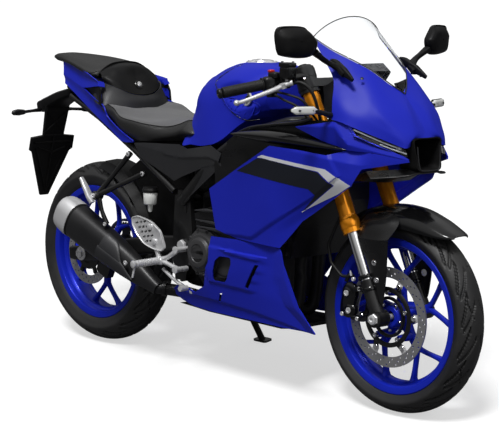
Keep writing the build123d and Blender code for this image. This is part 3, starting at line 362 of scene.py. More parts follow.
def prisms(outlines, low, high, left_only=()):
    """A hidden cutter: each (x, z) outline carried from y = low to y = high on both sides, and those of
    left_only on the left side."""
    parts = []
    for outline, sides in [(line, SIDES) for line in outlines] + [(line, (1,)) for line in left_only]:
        flat = np.asarray(outline, float)
        ring = np.arange(len(flat))
        after = np.roll(ring, -1)
        faces = np.stack([ring, after, after + len(flat), ring + len(flat)], -1).tolist()
        faces += [ring[::-1].tolist(), (ring + len(flat)).tolist()]
        for side in sides:
            parts.append((np.concatenate([np.insert(flat, 1, side * y, axis=1) for y in (low, high)]), faces))
    obj = new_object("cutter", parts)
    bpy.context.view_layer.objects.active = obj
    obj.select_set(True)
    bpy.ops.object.mode_set(mode="EDIT")
    bpy.ops.mesh.select_all(action="SELECT")
    bpy.ops.mesh.normals_make_consistent(inside=False)
    bpy.ops.object.mode_set(mode="OBJECT")
    obj.select_set(False)
    obj.hide_render = True
    return obj


# ---- Finishes ----

def link(tree, source, target):
    """Feed a socket from another one, or set it to a plain value."""
    if isinstance(source, bpy.types.NodeSocket):
        tree.links.new(source, target)
    else:
        target.default_value = source


def new_group(name, inputs, outputs):
    """An empty shader node group with its named sockets; returns the group, its input and output node."""
    group = bpy.data.node_groups.new(name, "ShaderNodeTree")
    for label, kind, default in inputs:
        socket = group.interface.new_socket(name=label, in_out="INPUT", socket_type=kind)
        socket.default_value = default
    for label, kind in outputs:
        group.interface.new_socket(name=label, in_out="OUTPUT", socket_type=kind)
    return group, group.nodes.new("NodeGroupInput"), group.nodes.new("NodeGroupOutput")


def maths(tree, operation, first, second, clamp=False):
    """A Math node on two sockets or plain numbers; returns its output."""
    node = tree.nodes.new("ShaderNodeMath")
    node.operation, node.use_clamp = operation, clamp
    link(tree, first, node.inputs[0])
    link(tree, second, node.inputs[1])
    return node.outputs[0]


def mix_colour(tree, factor, first, second):
    """A colour mix; returns its output."""
    node = tree.nodes.new("ShaderNodeMix")
    node.data_type = "RGBA"
    for place, value in ((0, factor), (6, first), (7, second)):
        link(tree, value, node.inputs[place])
    return node.outputs[2]


def noise(tree, vector, scale, detail, rough=0.5):
    """A noise of scale waves per metre, with detail finer layers, each rough times as strong as the last."""
    node = tree.nodes.new("ShaderNodeTexNoise")
    for label, value in (("Vector", vector), ("Scale", scale), ("Detail", detail), ("Roughness", rough)):
        link(tree, value, node.inputs[label])
    return node.outputs["Fac"]


def bump(tree, height, strength, distance):
    """A surface lifted by height, up to distance metres; returns its normal."""
    node = tree.nodes.new("ShaderNodeBump")
    for label, value in (("Height", height), ("Strength", strength), ("Distance", distance)):
        link(tree, value, node.inputs[label])
    return node.outputs[0]


def own_place(tree):
    """The place on the object itself, in metres, which every pattern is drawn on."""
    return tree.nodes.new("ShaderNodeTexCoord").outputs["Object"]


def gloss(group, source, share):
    """Roughness that runs from the group's low to its high gloss value with the share."""
    span = maths(group, "SUBTRACT", source.outputs["Gloss high"], source.outputs["Gloss low"])
    return maths(group, "ADD", source.outputs["Gloss low"], maths(group, "MULTIPLY", span, share))


def grain_group():
    """Moulded or sprayed surface: fine noise lifts the surface and a broad noise shifts colour and gloss."""
    name = "surface grain"
    if name in bpy.data.node_groups:
        return bpy.data.node_groups[name]
    group, source, target = new_group(name, [
        ("Colour", "NodeSocketColor", (0.5, 0.5, 0.5, 1)), ("Dust", "NodeSocketColor", (0.4, 0.38, 0.35, 1)),
        ("Dust amount", "NodeSocketFloat", 0.1), ("Grain size", "NodeSocketFloat", 900),
        ("Grain depth", "NodeSocketFloat", 0.1), ("Gloss low", "NodeSocketFloat", 0.3),
        ("Gloss high", "NodeSocketFloat", 0.4)],
        [("Colour", "NodeSocketColor"), ("Roughness", "NodeSocketFloat"), ("Normal", "NodeSocketVector")])
    place = own_place(group)
    broad = noise(group, place, 9, 4, 0.6)
    patches = maths(group, "MULTIPLY", maths(group, "SUBTRACT", broad, 0.42, True), 3.4, True)
    fine = noise(group, place, source.outputs["Grain size"], 2)
    dirt = maths(group, "MULTIPLY", patches, source.outputs["Dust amount"], True)
    speck = maths(group, "MULTIPLY", dirt, maths(group, "ADD", fine, 0.35), True)
    link(group, mix_colour(group, speck, source.outputs["Colour"], source.outputs["Dust"]), target.inputs["Colour"])
    link(group, gloss(group, source, patches), target.inputs["Roughness"])
    link(group, bump(group, fine, source.outputs["Grain depth"], 0.0006), target.inputs["Normal"])
    return group


def brushed_group():
    """Brushed metal: noise drawn out along rings about an axle gives fine turning marks."""
    name = "turning marks"
    if name in bpy.data.node_groups:
        return bpy.data.node_groups[name]
    group, source, target = new_group(name, [
        ("Centre", "NodeSocketVector", (0, 0, 0)), ("Depth", "NodeSocketFloat", 0.2),
        ("Gloss low", "NodeSocketFloat", 0.2), ("Gloss high", "NodeSocketFloat", 0.45)],
        [("Roughness", "NodeSocketFloat"), ("Normal", "NodeSocketVector"), ("Mask", "NodeSocketFloat")])
    offset = group.nodes.new("ShaderNodeVectorMath")
    offset.operation = "SUBTRACT"
    link(group, own_place(group), offset.inputs[0])
    link(group, source.outputs["Centre"], offset.inputs[1])
    length = group.nodes.new("ShaderNodeVectorMath")
    length.operation = "LENGTH"
    link(group, offset.outputs[0], length.inputs[0])
    rings = group.nodes.new("ShaderNodeCombineXYZ")
    link(group, maths(group, "MULTIPLY", length.outputs["Value"], 900), rings.inputs[0])
    marks = noise(group, rings.outputs[0], 1, 2)
    link(group, gloss(group, source, marks), target.inputs["Roughness"])
    link(group, bump(group, marks, source.outputs["Depth"], 0.0003), target.inputs["Normal"])
    link(group, marks, target.inputs["Mask"])
    return group


# name: slot of the record for new pieces, colour, metallic, gloss low and high, grain size, grain depth,
# dust amount, coat weight
FINISHES = {
    "royal blue paint": ("body_blue", (0.013, 0.022, 0.45), 0, 0.42, 0.5, 2600, 0, 0, 0),
    "wheel blue paint": ("wheel_blue", (0.01, 0.024, 0.5), 0.2, 0.3, 0.42, 2200, 0.03, 0, 0.1),
    "silver stripe": ("alloy", (0.66, 0.67, 0.7), 0, 0.34, 0.42, 2600, 0, 0, 0),
    "dark stripe": ("graphite", (0.008, 0.01, 0.016), 0, 0.34, 0.42, 2600, 0, 0, 0),
    "gold anodising": ("fork_gold", (0.95, 0.33, 0.011), 0.65, 0.16, 0.24, 1800, 0.03, 0, 0.1),
    "chromed steel": ("chrome", (0.82, 0.82, 0.83), 1, 0.06, 0.14, 1500, 0.02, 0.02, 0),
    "satin alloy": ("alloy", (0.74, 0.74, 0.75), 0.5, 0.26, 0.38, 1400, 0.1, 0.02, 0),
    "end cap alloy": ("alloy", (0.7, 0.7, 0.71), 0.5, 0.28, 0.4, 1600, 0.1, 0.02, 0),
    "black metal": ("metal_black", (0.006, 0.006, 0.0065), 0, 0.3, 0.44, 1500, 0.12, 0.02, 0.1),
    "gloss black": ("gloss_black", (0.003, 0.003, 0.0035), 0, 0.16, 0.24, 2600, 0, 0, 0.2),
    "matt black plastic": ("matte_black", (0.0055, 0.0055, 0.006), 0, 0.42, 0.56, 1100, 0.24, 0.02, 0),
    "satin black plastic": ("matte_black", (0.005, 0.005, 0.0055), 0, 0.26, 0.38, 1500, 0.1, 0.01, 0),
    "graphite plastic": ("graphite", (0.019, 0.0195, 0.022), 0, 0.4, 0.52, 1100, 0.22, 0.02, 0),
    "heatproof black": ("exhaust_black", (0.014, 0.014, 0.0152), 0.2, 0.36, 0.46, 1300, 0.12, 0.02, 0),
    "grey casting": ("engine_grey", (0.05, 0.05, 0.053), 0.35, 0.36, 0.5, 900, 0.3, 0.04, 0),
    "grip rubber": ("grip_rubber", (0.006, 0.006, 0.006), 0, 0.5, 0.66, 900, 0.3, 0.02, 0),
    "tyre rubber": ("tyre_black", (0.017, 0.017, 0.0178), 0, 0.46, 0.6, 700, 0.22, 0.03, 0),
    "red switch": ("red_lens", (0.6, 0.015, 0.012), 0, 0.25, 0.35, 2000, 0.04, 0.02, 0.2),
    "milky plastic": ("milky", (0.74, 0.75, 0.73), 0, 0.22, 0.32, 1800, 0.05, 0.03, 0.2),
    "red lens": ("red_lens", (0.42, 0.006, 0.006), 0, 0.08, 0.14, 2600, 0.02, 0.02, 0.5),
    "lamp reflector": ("alloy", (0.4, 0.41, 0.43), 0.3, 0.14, 0.24, 1800, 0.05, 0.03, 0.2),
    "chain steel": (None, (0.2, 0.2, 0.21), 0.9, 0.3, 0.45, 1500, 0.15, 0.12, 0),
}
DUST = (0.3, 0.28, 0.25, 1)


def finish(name):
    """The named material, made on first use."""
    if name in bpy.data.materials:
        return bpy.data.materials[name]
    material = bpy.data.materials.new(name)
    material.use_nodes = True
    tree = material.node_tree
    shader = tree.nodes["Principled BSDF"]
    if name in FINISHES:
        colour, metallic, low, high, size, depth, dust, coat = FINISHES[name][1:]
        node = tree.nodes.new("ShaderNodeGroup")
        node.node_tree = grain_group()
        values = {"Colour": (*colour, 1), "Dust": DUST, "Dust amount": dust, "Grain size": size,
                  "Grain depth": depth, "Gloss low": low, "Gloss high": high}
        for label, value in values.items():
            node.inputs[label].default_value = value
        link(tree, node.outputs["Colour"], shader.inputs["Base Color"])
        link(tree, node.outputs["Roughness"], shader.inputs["Roughness"])
        link(tree, node.outputs["Normal"], shader.inputs["Normal"])
        shader.inputs["Metallic"].default_value = metallic
        shader.inputs["Coat Weight"].default_value = coat
        shader.inputs["Coat Roughness"].default_value = 0.06
        shader.inputs["Specular IOR Level"].default_value = 0.14 if "matt" in name or "paint" in name else 0.4
        material.diffuse_color = (*colour, 1)
    else:
        SPECIAL[name][1](tree, shader)
    return material


def seat_top_finish(tree, shader):
    """Suede-like cover: a soft nap from two noises, a little sheen, paler where it is rubbed."""
    place = own_place(tree)
    nap = noise(tree, place, 1400, 3, 0.7)
    broad = noise(tree, place, 14, 3)
    tint = mix_colour(tree, broad, (0.06, 0.06, 0.063, 1), (0.095, 0.095, 0.098, 1))
    link(tree, mix_colour(tree, maths(tree, "MULTIPLY", nap, 0.4), tint, (0.12, 0.12, 0.12, 1)),
         shader.inputs["Base Color"])
    link(tree, maths(tree, "ADD", maths(tree, "MULTIPLY", nap, 0.2), 0.62), shader.inputs["Roughness"])
    link(tree, bump(tree, nap, 0.35, 0.0005), shader.inputs["Normal"])
    shader.inputs["Sheen Weight"].default_value = 0.35
    shader.inputs["Sheen Roughness"].default_value = 0.5


def vinyl_finish(tree, shader):
    """Grained seat vinyl: small closed cells with creases between them; the creases are sunk by a bump and also
    darkened with painted shade.
    """
    pores = tree.nodes.new("ShaderNodeTexVoronoi")
    pores.feature = "DISTANCE_TO_EDGE"
    pores.inputs["Scale"].default_value = 700
    link(tree, own_place(tree), pores.inputs["Vector"])
    edge = maths(tree, "MULTIPLY", pores.outputs["Distance"], 6, True)
    # The colour is darker near the cell edges: painted shade in the creases, on top of the real grain.
    link(tree, mix_colour(tree, edge, (0.008, 0.008, 0.008, 1), (0.016, 0.016, 0.0165, 1)),
         shader.inputs["Base Color"])
    link(tree, maths(tree, "SUBTRACT", 0.5, maths(tree, "MULTIPLY", edge, 0.1)), shader.inputs["Roughness"])
    link(tree, bump(tree, edge, 0.3, 0.0004), shader.inputs["Normal"])


def disc_finish(axle):
    """Ground steel with turning marks about the given axle."""
    def build(tree, shader):
        node = tree.nodes.new("ShaderNodeGroup")
        node.node_tree = brushed_group()
        node.inputs["Centre"].default_value = tuple(parked(axle))
        link(tree, node.outputs["Roughness"], shader.inputs["Roughness"])
        link(tree, node.outputs["Normal"], shader.inputs["Normal"])
        link(tree, mix_colour(tree, node.outputs["Mask"], (0.42, 0.42, 0.43, 1), (0.6, 0.6, 0.61, 1)),
             shader.inputs["Base Color"])
        shader.inputs["Metallic"].default_value = 0.85
    return build


def clear_finish(tint, roughness):
    """Clear moulded plastic: light passes through, with a faint haze from a broad noise."""
    def build(tree, shader):
        haze = maths(tree, "MULTIPLY", noise(tree, own_place(tree), 30, 2), 0.03)
        link(tree, maths(tree, "ADD", haze, roughness), shader.inputs["Roughness"])
        shader.inputs["Base Color"].default_value = (*tint, 1)
        shader.inputs["Transmission Weight"].default_value = 1
        shader.inputs["IOR"].default_value = 1.12
    return build


# name: slot, and the function that lays out its nodes
SPECIAL = {
    "seat cover": ("seat_cover", seat_top_finish),
    "seat vinyl": ("seat_cover", vinyl_finish),
    "front disc steel": (None, disc_finish(FRONT_AXLE + (0, -62, 0))),
    "rear disc steel": (None, disc_finish(REAR_AXLE + (0, -84, 0))),
    "clear screen": ("clear_screen", clear_finish((0.93, 0.95, 0.97), 0.01)),
    "clear lens": ("clear_lens", clear_finish((0.95, 0.96, 0.98), 0.02)),
}

# The carried-over nodes of the frame that get each finish.
NODE_FINISHES = {
    "black metal": "fork_lowers front_caliper front_disc_carrier handlebars main_frame pillion_brackets "
                   "radiator rear_caliper rear_hub_fittings rear_shock side_stand subframe swingarm "
                   "triple_clamps",
    "chain steel": "chain",
    "chromed steel": "fork_inners",
    "clear lens": "headlamps",
    "clear screen": "windscreen",
    "end cap alloy": "muffler_cap",
    "front disc steel": "front_disc",
    "gloss black": "front_fender",
    "gold anodising": "fork_outers",
    "graphite plastic": "heat_shield seat_trim side_covers",
    "grey casting": "engine",
    "grip rubber": "brake_hose grips",
    "heatproof black": "exhaust",
    "matt black plastic": "belly_pan inner_panels intake_duct mirrors plate_holder rear_hugger",
    "milky plastic": "front_turn_signals rear_reservoir",
    "rear disc steel": "rear_disc",
    "red lens": "tail_light",
    "royal blue paint": "belly_cowl fuel_tank side_cowls tail_cowl upper_cowl",
    "satin alloy": "foot_levers foot_pegs front_axle fuel_cap heel_plates levers rear_axle",
    "satin black plastic": "bar_controls meter rear_turn_signals",
    "seat vinyl": "pillion_seat rider_seat",
    "tyre rubber": "front_tyre rear_tyre",
    "wheel blue paint": "front_rim rear_rim",
}


# ---- Side fairing ----

# Upright lines (y, z) of the fairing's side at several x, shared by everything that lies on it.
FLANK = stations([
    (60, [(205, 880), (214, 800), (216, 770), (214, 690), (206, 600), (195, 470)]),
    (350, [(222, 880), (226, 800), (226, 778), (222, 690), (214, 600), (198, 470)]),
    (450, [(212, 880), (220, 800), (222, 770), (218, 690), (196, 590), (180, 470)]),
    (560, [(206, 880), (212, 800), (214, 768), (206, 690), (176, 590), (150, 480)]),
    (640, [(190, 870), (194, 810), (190, 760), (186, 690), (150, 600), (120, 500)]),
    (700, [(140, 850), (146, 800), (148, 755), (140, 700), (110, 620), (90, 520)]),
    (780, [(80, 830), (84, 790), (84, 760), (74, 720), (60, 640), (50, 560)]),
])
BELLY = stations([
    (-196, [(132, 300), (130, 270), (122, 250), (114, 214)]),
    (-80, [(160, 330), (156, 290), (146, 262), (130, 214)]),
    (20, [(194, 450), (188, 360), (172, 300), (144, 214)]),
    (200, [(196, 466), (184, 380), (170, 310), (146, 214)]),
    (372, [(178, 462), (176, 380), (174, 310), (160, 214)]),
    (512, [(176, 462), (176, 380), (175, 310), (173, 214)]),
])
RAISED = [(351, 790), (60, 628), (85, 486), (300, 490), (518, 646), (610, 700), (560, 790)]
TOP_FOLD = [(351, 779), (480, 770), (665, 744), (775, 757)]


def flank_height(x, z):
    """The side with its raised six-cornered field, a rolled top edge above the long fold,
    and a hollow between the field and the front edge."""
    y = FLANK(x, z)
    field = inside(x, z, RAISED)
    fold_x, fold_z = np.array(TOP_FOLD, float).T
    above = z - np.interp(x, fold_x, fold_z)
    y = y + 5 * eased(field, -5, 1.5)
    y = y - 0.55 * np.clip(above, 0, 40) * eased(x, 380, 470) * eased(-x, -700, -640)
    return y - 6 * eased(-field, 6, 40) * eased(-above, 8, 30) * eased(x, 330, 420) * eased(-x, -640, -560)


def build_side_cowls():
    """The blue side panels: strips between two lines laid on the shared side height, the upper wedge
    sinking away from its fold, and two stripes lifted off them."""
    top = [(70, 622), (350, 779), (460, 776), (565, 768), (622, 785), (692, 781), (776, 763)]
    low = [(91, 497), (182, 477), (366, 470), (452, 560), (640, 682), (668, 733), (777, 758)]
    main = draped(strip(top, low, 26, 64), flank_height)
    wedge_top = [(445, 843), (590, 868), (624, 860), (650, 828), (764, 774), (776, 766)]
    wedge_low = [(447, 840), (540, 806), (602, 791), (624, 786), (692, 782), (775, 764)]

    def wedge_height(x, z):
        fold = np.interp(x, [445, 587, 634, 775], [842, 852, 803, 764])
        return FLANK(x, z) - 0.35 * np.abs(z - fold)

    wedge = draped(strip(wedge_top, wedge_low, 14, 16), wedge_height)
    piece("side_cowl_panels", both(sheet(main), sheet(wedge)), "royal blue paint",
          replaces="side_cowls", wall=3, sharp=38)
    silver_out = [(300, 742), (318, 749), (565, 727), (638, 683), (590, 654), (456, 590)]
    silver_in = [(299, 739), (316, 740), (541, 718), (587, 680), (540, 646), (458, 588)]
    silver = draped(strip(silver_out, silver_in, 16, 8), flank_height, 0.5)
    piece("silver_stripes", both(sheet(silver)), "silver stripe", wall=0.4, sharp=60)
    dark_out = [(296, 737), (320, 739), (538, 716), (583, 679), (460, 592)]
    dark_in = [(206, 692), (206, 691), (497, 662), (518, 646), (458, 590)]
    dark = draped(strip(dark_out, dark_in, 20, 14), flank_height, 0.5)
    piece("dark_stripes", both(sheet(dark)), "dark stripe", wall=0.4, sharp=60)


def belly_height(x, z):
    """The belly side with a raised frame round its window, a stepped lower edge and a fin whose
    front edge is folded outwards."""
    y = BELLY(x, z)
    frame_field = inside(x, z, [(40, 322), (16, 440), (290, 428), (222, 314)])
    y = y + 5 * eased(frame_field, -4, 2)
    rib = inside(x, z, [(73, 428), (73, 437), (292, 430), (236, 405), (222, 404), (150, 424)])
    y = y + 5 * eased(rib, -2, 2)
    fold_x = np.interp(z, [214, 226, 292, 379, 446, 474], [490, 468, 369, 324, 313, 312])
    y = y + 0.22 * np.clip(x - fold_x, 0, 60)
    return y - 5 * eased(-(z - np.interp(x, [-200, 30, 200, 470], [262, 262, 250, 226])), 0, 7)


def build_belly():
    """The belly cowl: a strip between its two lines laid on the belly height, with three openings
    cut through both sides and room for the stand on the left."""
    top = [(-190, 262), (-140, 290), (-60, 270), (4, 302), (26, 356), (46, 384), (52, 414), (54, 446),
           (62, 470), (184, 474), (362, 467), (372, 452), (380, 420), (442, 300), (512, 228)]
    low = [(-190, 242), (-150, 228), (-90, 218), (0, 217), (22, 217), (42, 217), (50, 217), (54, 217),
           (64, 217), (184, 217), (352, 219), (366, 220), (378, 220), (440, 223), (510, 226)]
    grid = draped(strip(top, low, 9, 56), belly_height)
    window = [(92, 406), (104, 412), (146, 413), (151, 408), (150, 392), (124, 340), (112, 329), (66, 329),
              (62, 334), (64, 356), (78, 394)]
    slot = [(254, 404), (269, 404), (214, 322), (200, 326)]
    small = [(75, 288), (86, 289), (70, 258), (60, 259)]
    stand_cut = [(-210, 320), (-55, 320), (-55, 190), (-210, 190)]
    openings = prisms([window, slot, small], 60, 260, [stand_cut])
    piece("belly_cowl_panels", both(sheet(grid)), "royal blue paint", replaces="belly_cowl", wall=3,
          sharp=38, cut=openings)
    bolt_y = BELLY(np.array(-83.0), np.array(269.0)) - 3
    bolt = turned([(0, 0.1), (0, 9), (2.5, 8), (3.5, 5), (3.5, 0.1)], (-83, -bolt_y, 269), (0, -1, 0), 20)
    piece("belly_bolts", [bolt], "satin alloy", sharp=35)


def build_inner_panels():
    """The black panels inside the fairing, strips sunk below the side height, and over the side cowl
    a long glossy blade: its half width follows a sine along it, and it bows outwards across."""
    s = np.linspace(0, 1, 60)
    x = 156 + (622 - 156) * s
    half = 19.5 * np.sin(np.pi * s) ** 0.7 * (1.02 - 0.22 * s) + 0.4
    middle = 799 + 9 * np.sin(np.pi * s) - 12 * s
    around = np.linspace(-1, 1, 17)
    z = middle[:, None] + half[:, None] * around[None]
    y = FLANK(x[:, None] + 0 * z, z) + 4 - 16 * np.abs(around[None]) ** 2.2 * (half[:, None] / 20)
    y = y - 14 * (1 - np.sin(np.pi * s) ** 0.5)[:, None]
    blade = np.stack([x[:, None] + 0 * z, y, z], -1)
    piece("side_blades", both(sheet(blade)), "gloss black", wall=4, sharp=50)
    top = [(100, 690), (112, 772), (170, 803), (330, 838), (445, 858), (505, 864), (562, 866), (600, 800)]
    low = [(98, 676), (150, 664), (220, 700), (330, 760), (445, 762), (500, 762), (560, 762), (596, 786)]
    flat = strip(top, low, 10, 18)
    panel = draped(flat, FLANK, -(26 + 12 * eased(-(flat[..., 1] - 800), -40, 30)))
    ridge = [(500, 205, 868), (440, 196, 853), (330, 196, 838), (230, 193, 822), (150, 186, 795)]
    rim = pipe(ridge, [5, 6, 6, 6, 4], 8, 12)
    cockpit = net([[(496, 156, 962), (516, 160, 968), (548, 167, 982)],
                   [(512, 168, 925), (534, 174, 930), (560, 181, 936)],
                   [(530, 184, 884), (552, 188, 878), (574, 193, 872)]], 6, 6)
    rear_top = [(58, 700), (100, 742), (240, 756), (345, 782)]
    rear_low = [(66, 612), (78, 600), (200, 600), (330, 700)]
    rear = draped(strip(rear_top, rear_low, 10, 14), lambda x, z: 182 + 0 * x)
    duct_top = [(66, 560), (110, 572), (190, 556)]
    duct_low = [(60, 520), (100, 506), (186, 500)]
    duct = draped(strip(duct_top, duct_low, 10, 8), lambda x, z: 186 - 0.10 * (x - 60))
    lower_top = [(-40, 530), (40, 560), (96, 520), (190, 486)]
    lower_low = [(-30, 494), (40, 486), (100, 480), (186, 470)]
    lower = draped(strip(lower_top, lower_low, 10, 8), lambda x, z: 176 + 0.03 * x)
    piece("inner_fairing", both(*[sheet(g) for g in (panel, cockpit, rear, duct, lower)], rim),
          "satin black plastic", replaces="inner_panels", wall=3, sharp=35)
    slats = []
    for x0, z0, x1, z1, y0 in ((-36, 540, 84, 546, 176), (-28, 512, 186, 500, 180), (-20, 492, 190, 482, 182)):
        slats.append(pipe([(x0, y0, z0), ((x0 + x1) / 2, y0 + 8, (z0 + z1) / 2 + 4), (x1, y0 + 6, z1)],
                          [2, 6, 3], 8, 10))
    piece("side_slats", both(*slats), "graphite plastic", sharp=35)


# ---- Nose ----

NOSE_NET = [
    [(441, 147, 1101), (497, 156, 1042), (546, 166, 984), (566, 189, 925), (577, 201, 871)],
    [(500, 127, 1066), (550, 143, 1008), (590, 156, 957), (604, 185, 905), (608, 197, 866)],
    [(560, 103, 1038), (602, 124, 984), (632, 144, 932), (640, 171, 890), (642, 185, 854)],
    [(610, 75, 1010), (646, 102, 962), (668, 133, 912), (676, 151, 874), (680, 158, 836)],
    [(650, 38, 972), (688, 76, 928), (706, 115, 886), (714, 124, 852), (717, 126, 818)],
    [(677, 0, 943), (728, 42, 894), (742, 76, 858), (750, 96, 828), (754, 97, 800)],
    [(736, 0, 874), (757, 30, 849), (764, 54, 833), (765, 74, 814), (764, 84, 797)],
    [(768, 0, 824), (767, 20, 824), (764, 40, 823), (760, 57, 820), (762, 68, 800)],
]
SCREEN_EDGE = [(441, 146, 1102), (500, 126, 1068), (560, 102, 1040), (610, 74, 1012), (650, 37, 974), (678, 1, 945)]
SCREEN_MIDDLE = [(466, 0, 1163), (512, 0, 1126), (555, 0, 1084), (597, 0, 1041), (640, 0, 994), (679, 0, 945)]


def build_nose():
    """The nose cowl, a surface through its net, and the screen: across it every row turns through
    the same arc, from its middle line out to its edge line."""
    grid = net(NOSE_NET, 10, 10)
    piece("nose_cowl", both(patch(grid)), "royal blue paint", replaces="upper_cowl", wall=3, sharp=30,
          merge=0.4)
    middle, edge = smooth(SCREEN_MIDDLE, 8), smooth(SCREEN_EDGE, 8)
    s = np.linspace(0, 1, 22)
    bend = math.radians(62)
    wide = np.sin(bend * s) / math.sin(bend)
    fall = (1 - np.cos(bend * s)) / (1 - math.cos(bend))
    offset = edge - middle
    glass = middle[:, None] + offset[:, None] * np.stack([fall, wide, fall], -1)[None]
    piece("screen", both(patch(glass)), "clear screen", replaces="windscreen", wall=2.6, sharp=60, merge=0.4)
    rims = [pipe(line + (0, 0, 0.5), 1.7, 6, 8) for line in (glass[0, ::3], glass[::8, -1])]
    piece("screen_rim", both(*rims), "graphite plastic", sharp=60)
    fixing = turned([(0, 0.1), (0, 5), (2, 4.4), (2.6, 2.5), (2.6, 0.1)], (622, 126, 990), (0.45, 0.55, 0.7), 16)
    piece("screen_fixings", both(fixing), "satin black plastic", sharp=35)


def build_lamps():
    """Twin slits under the nose: the face between an upper and a lower curve, moved back for a black
    cavity with two silvery louvres in it, and moved forward for a clear front."""
    up = smooth([(626, 190, 858), (680, 158, 834), (717, 126, 814), (758, 88, 795)], 8)
    low = smooth([(650, 186, 829), (694, 152, 806), (728, 122, 790), (767, 84, 773)], 8)
    t = np.linspace(0, 1, 7)[None, :, None]
    face = up[:, None] * (1 - t) + low[:, None] * t
    depth = np.array([-14.0, -18.0, 0.0])
    cavity = np.concatenate([face[:, :1], face + depth, face[:, -1:]], 1)
    piece("lamp_cavities", both(patch(cavity)), "gloss black", wall=1.5)
    slats = []
    for share, start, stop in ((0.22, 2, 24), (0.7, 12, 32)):
        line = up * (1 - share) + low * share + depth * 0.45
        slats.append(pipe(line[start:stop:4], 2.6, 4, 10))
    piece("lamp_louvres", both(*slats), "lamp reflector", sharp=35)
    piece("lamp_lenses", both(patch(face + (-3, -4, 0))), "clear lens", replaces="headlamps", wall=1.2,
          sharp=60)
    projector = block((742, 92, 796), (16, 14, 12), 3, rows=6, count=16)
    piece("lamp_projectors", both(projector), "lamp reflector", sharp=35)


def build_intake():
    """The open duct between the lamps: rings from the mouth back to a smaller throat, a thin frame
    round them, and a dark lip of two sheets under the nose."""
    mouth = np.array([(770, y, z) for y, z in
                      ((-56, 822), (0, 824), (56, 822), (60, 800), (54, 760), (46, 731), (0, 726), (-46, 731),
                       (-54, 760), (-60, 800))], float)
    middle = 775

    def narrowed(ring, wide, high):
        ring = ring * (1, wide, 1)
        ring[:, 2] = middle + (ring[:, 2] - middle) * high
        return ring

    lip = mouth.copy()
    lip[:, 0] += np.interp(mouth[:, 2], [726, 824], [12, -2])
    rows = [mouth + (-60, 0, 0), lip, narrowed(lip, 0.93, 0.93), narrowed(mouth, 0.72, 0.7) + (-95, 0, 0)]
    grid = np.swapaxes(smooth(np.swapaxes(straight(rows, 4), 0, 1), 4, True), 0, 1)
    back = grid[-1:].mean(1, keepdims=True) + 0 * grid[-1:]
    piece("duct_walls", [patch(np.concatenate([grid, back]), loop_v=True)], "matt black plastic",
          replaces="intake_duct")
    bend = [(781, 50, 800), (784, 47, 760), (787, 41, 735), (788, 30, 730), (788, 0, 729), (788, -30, 730),
            (787, -41, 735), (784, -47, 760), (781, -50, 800)]
    piece("duct_frame", [pipe(np.array(bend, float) - (6, 0, 0), 1.8, 6, 8)], "graphite plastic", sharp=35)
    edge = [(688, 150, 707), (735, 104, 712), (770, 80, 718), (777, 52, 723), (778, 0, 724)]
    inner = [(640, 118, 722), (688, 84, 728), (722, 60, 732), (735, 40, 734), (738, 0, 734)]
    back = [(560, 118, 690), (600, 100, 690), (640, 76, 690), (660, 46, 690), (664, 0, 690)]
    lip_edge = pipe(smooth(edge, 2), 3, 4, 10)
    piece("nose_lip", both(patch(net([edge, inner], 6, 1)), patch(net([inner, back], 6, 1)), lip_edge),
          "satin black plastic", wall=3, merge=0.3)


# ---- Tank ----

TANK = [
    (-196, [(0, 892), (8, 890), (14, 882), (20, 870), (26, 856), (32, 838), (28, 806)]),
    (-172, [(0, 920), (16, 918), (26, 908), (36, 894), (46, 872), (58, 842), (62, 800)]),
    (-134, [(0, 944), (34, 940), (54, 924), (68, 905), (80, 882), (88, 848), (146, 742)]),
    (-90, [(0, 968), (40, 964), (68, 947), (100, 922), (120, 886), (128, 836), (149, 744)]),
    (-20, [(0, 996), (46, 993), (82, 974), (120, 943), (142, 898), (153, 838), (160, 746)]),
    (60, [(0, 1010), (54, 1008), (96, 991), (134, 955), (152, 905), (158, 850), (167, 766)]),
    (140, [(0, 1010), (54, 1008), (96, 991), (134, 955), (150, 908), (154, 868), (151, 824)]),
    (190, [(0, 1001), (50, 999), (86, 985), (119, 951), (132, 914), (130, 886), (114, 860)]),
    (216, [(0, 988), (42, 986), (72, 974), (98, 948), (108, 922), (106, 898), (88, 872)]),
]
TANK_SEAM = [(70, 1004), (34, 982), (8, 962), (-2, 946), (14, 934), (66, 896), (112, 860), (160, 838), (196, 842)]


def loft(table):
    """Half cross sections of (y, z) given at several x, as rows of points."""
    return [[(x, y, z) for y, z in section] for x, section in table]


def closed_half(grid):
    """A half body from its grid: carried inwards to the middle plane along its last line, and closed
    flat to that plane at both ends."""
    grid = np.concatenate([grid, grid[:, -1:] * (1, 0, 1)], 1)
    return np.concatenate([grid[:1] * (1, 0, 1), grid, grid[-1:] * (1, 0, 1)])


def on_grid(grid, line, lift=0):
    """Each (x, z) of the line set on the nearest part of a surface, lifted outwards."""
    flat = grid.reshape(-1, 3)
    line = np.asarray(line, float)
    away = (line[:, None, 0] - flat[None, :, 0]) ** 2 + (line[:, None, 1] - flat[None, :, 2]) ** 2
    near = away.argsort(1)[:, :4]
    return np.stack([line[:, 0], flat[near, 1].mean(1) + lift, line[:, 1]], -1)


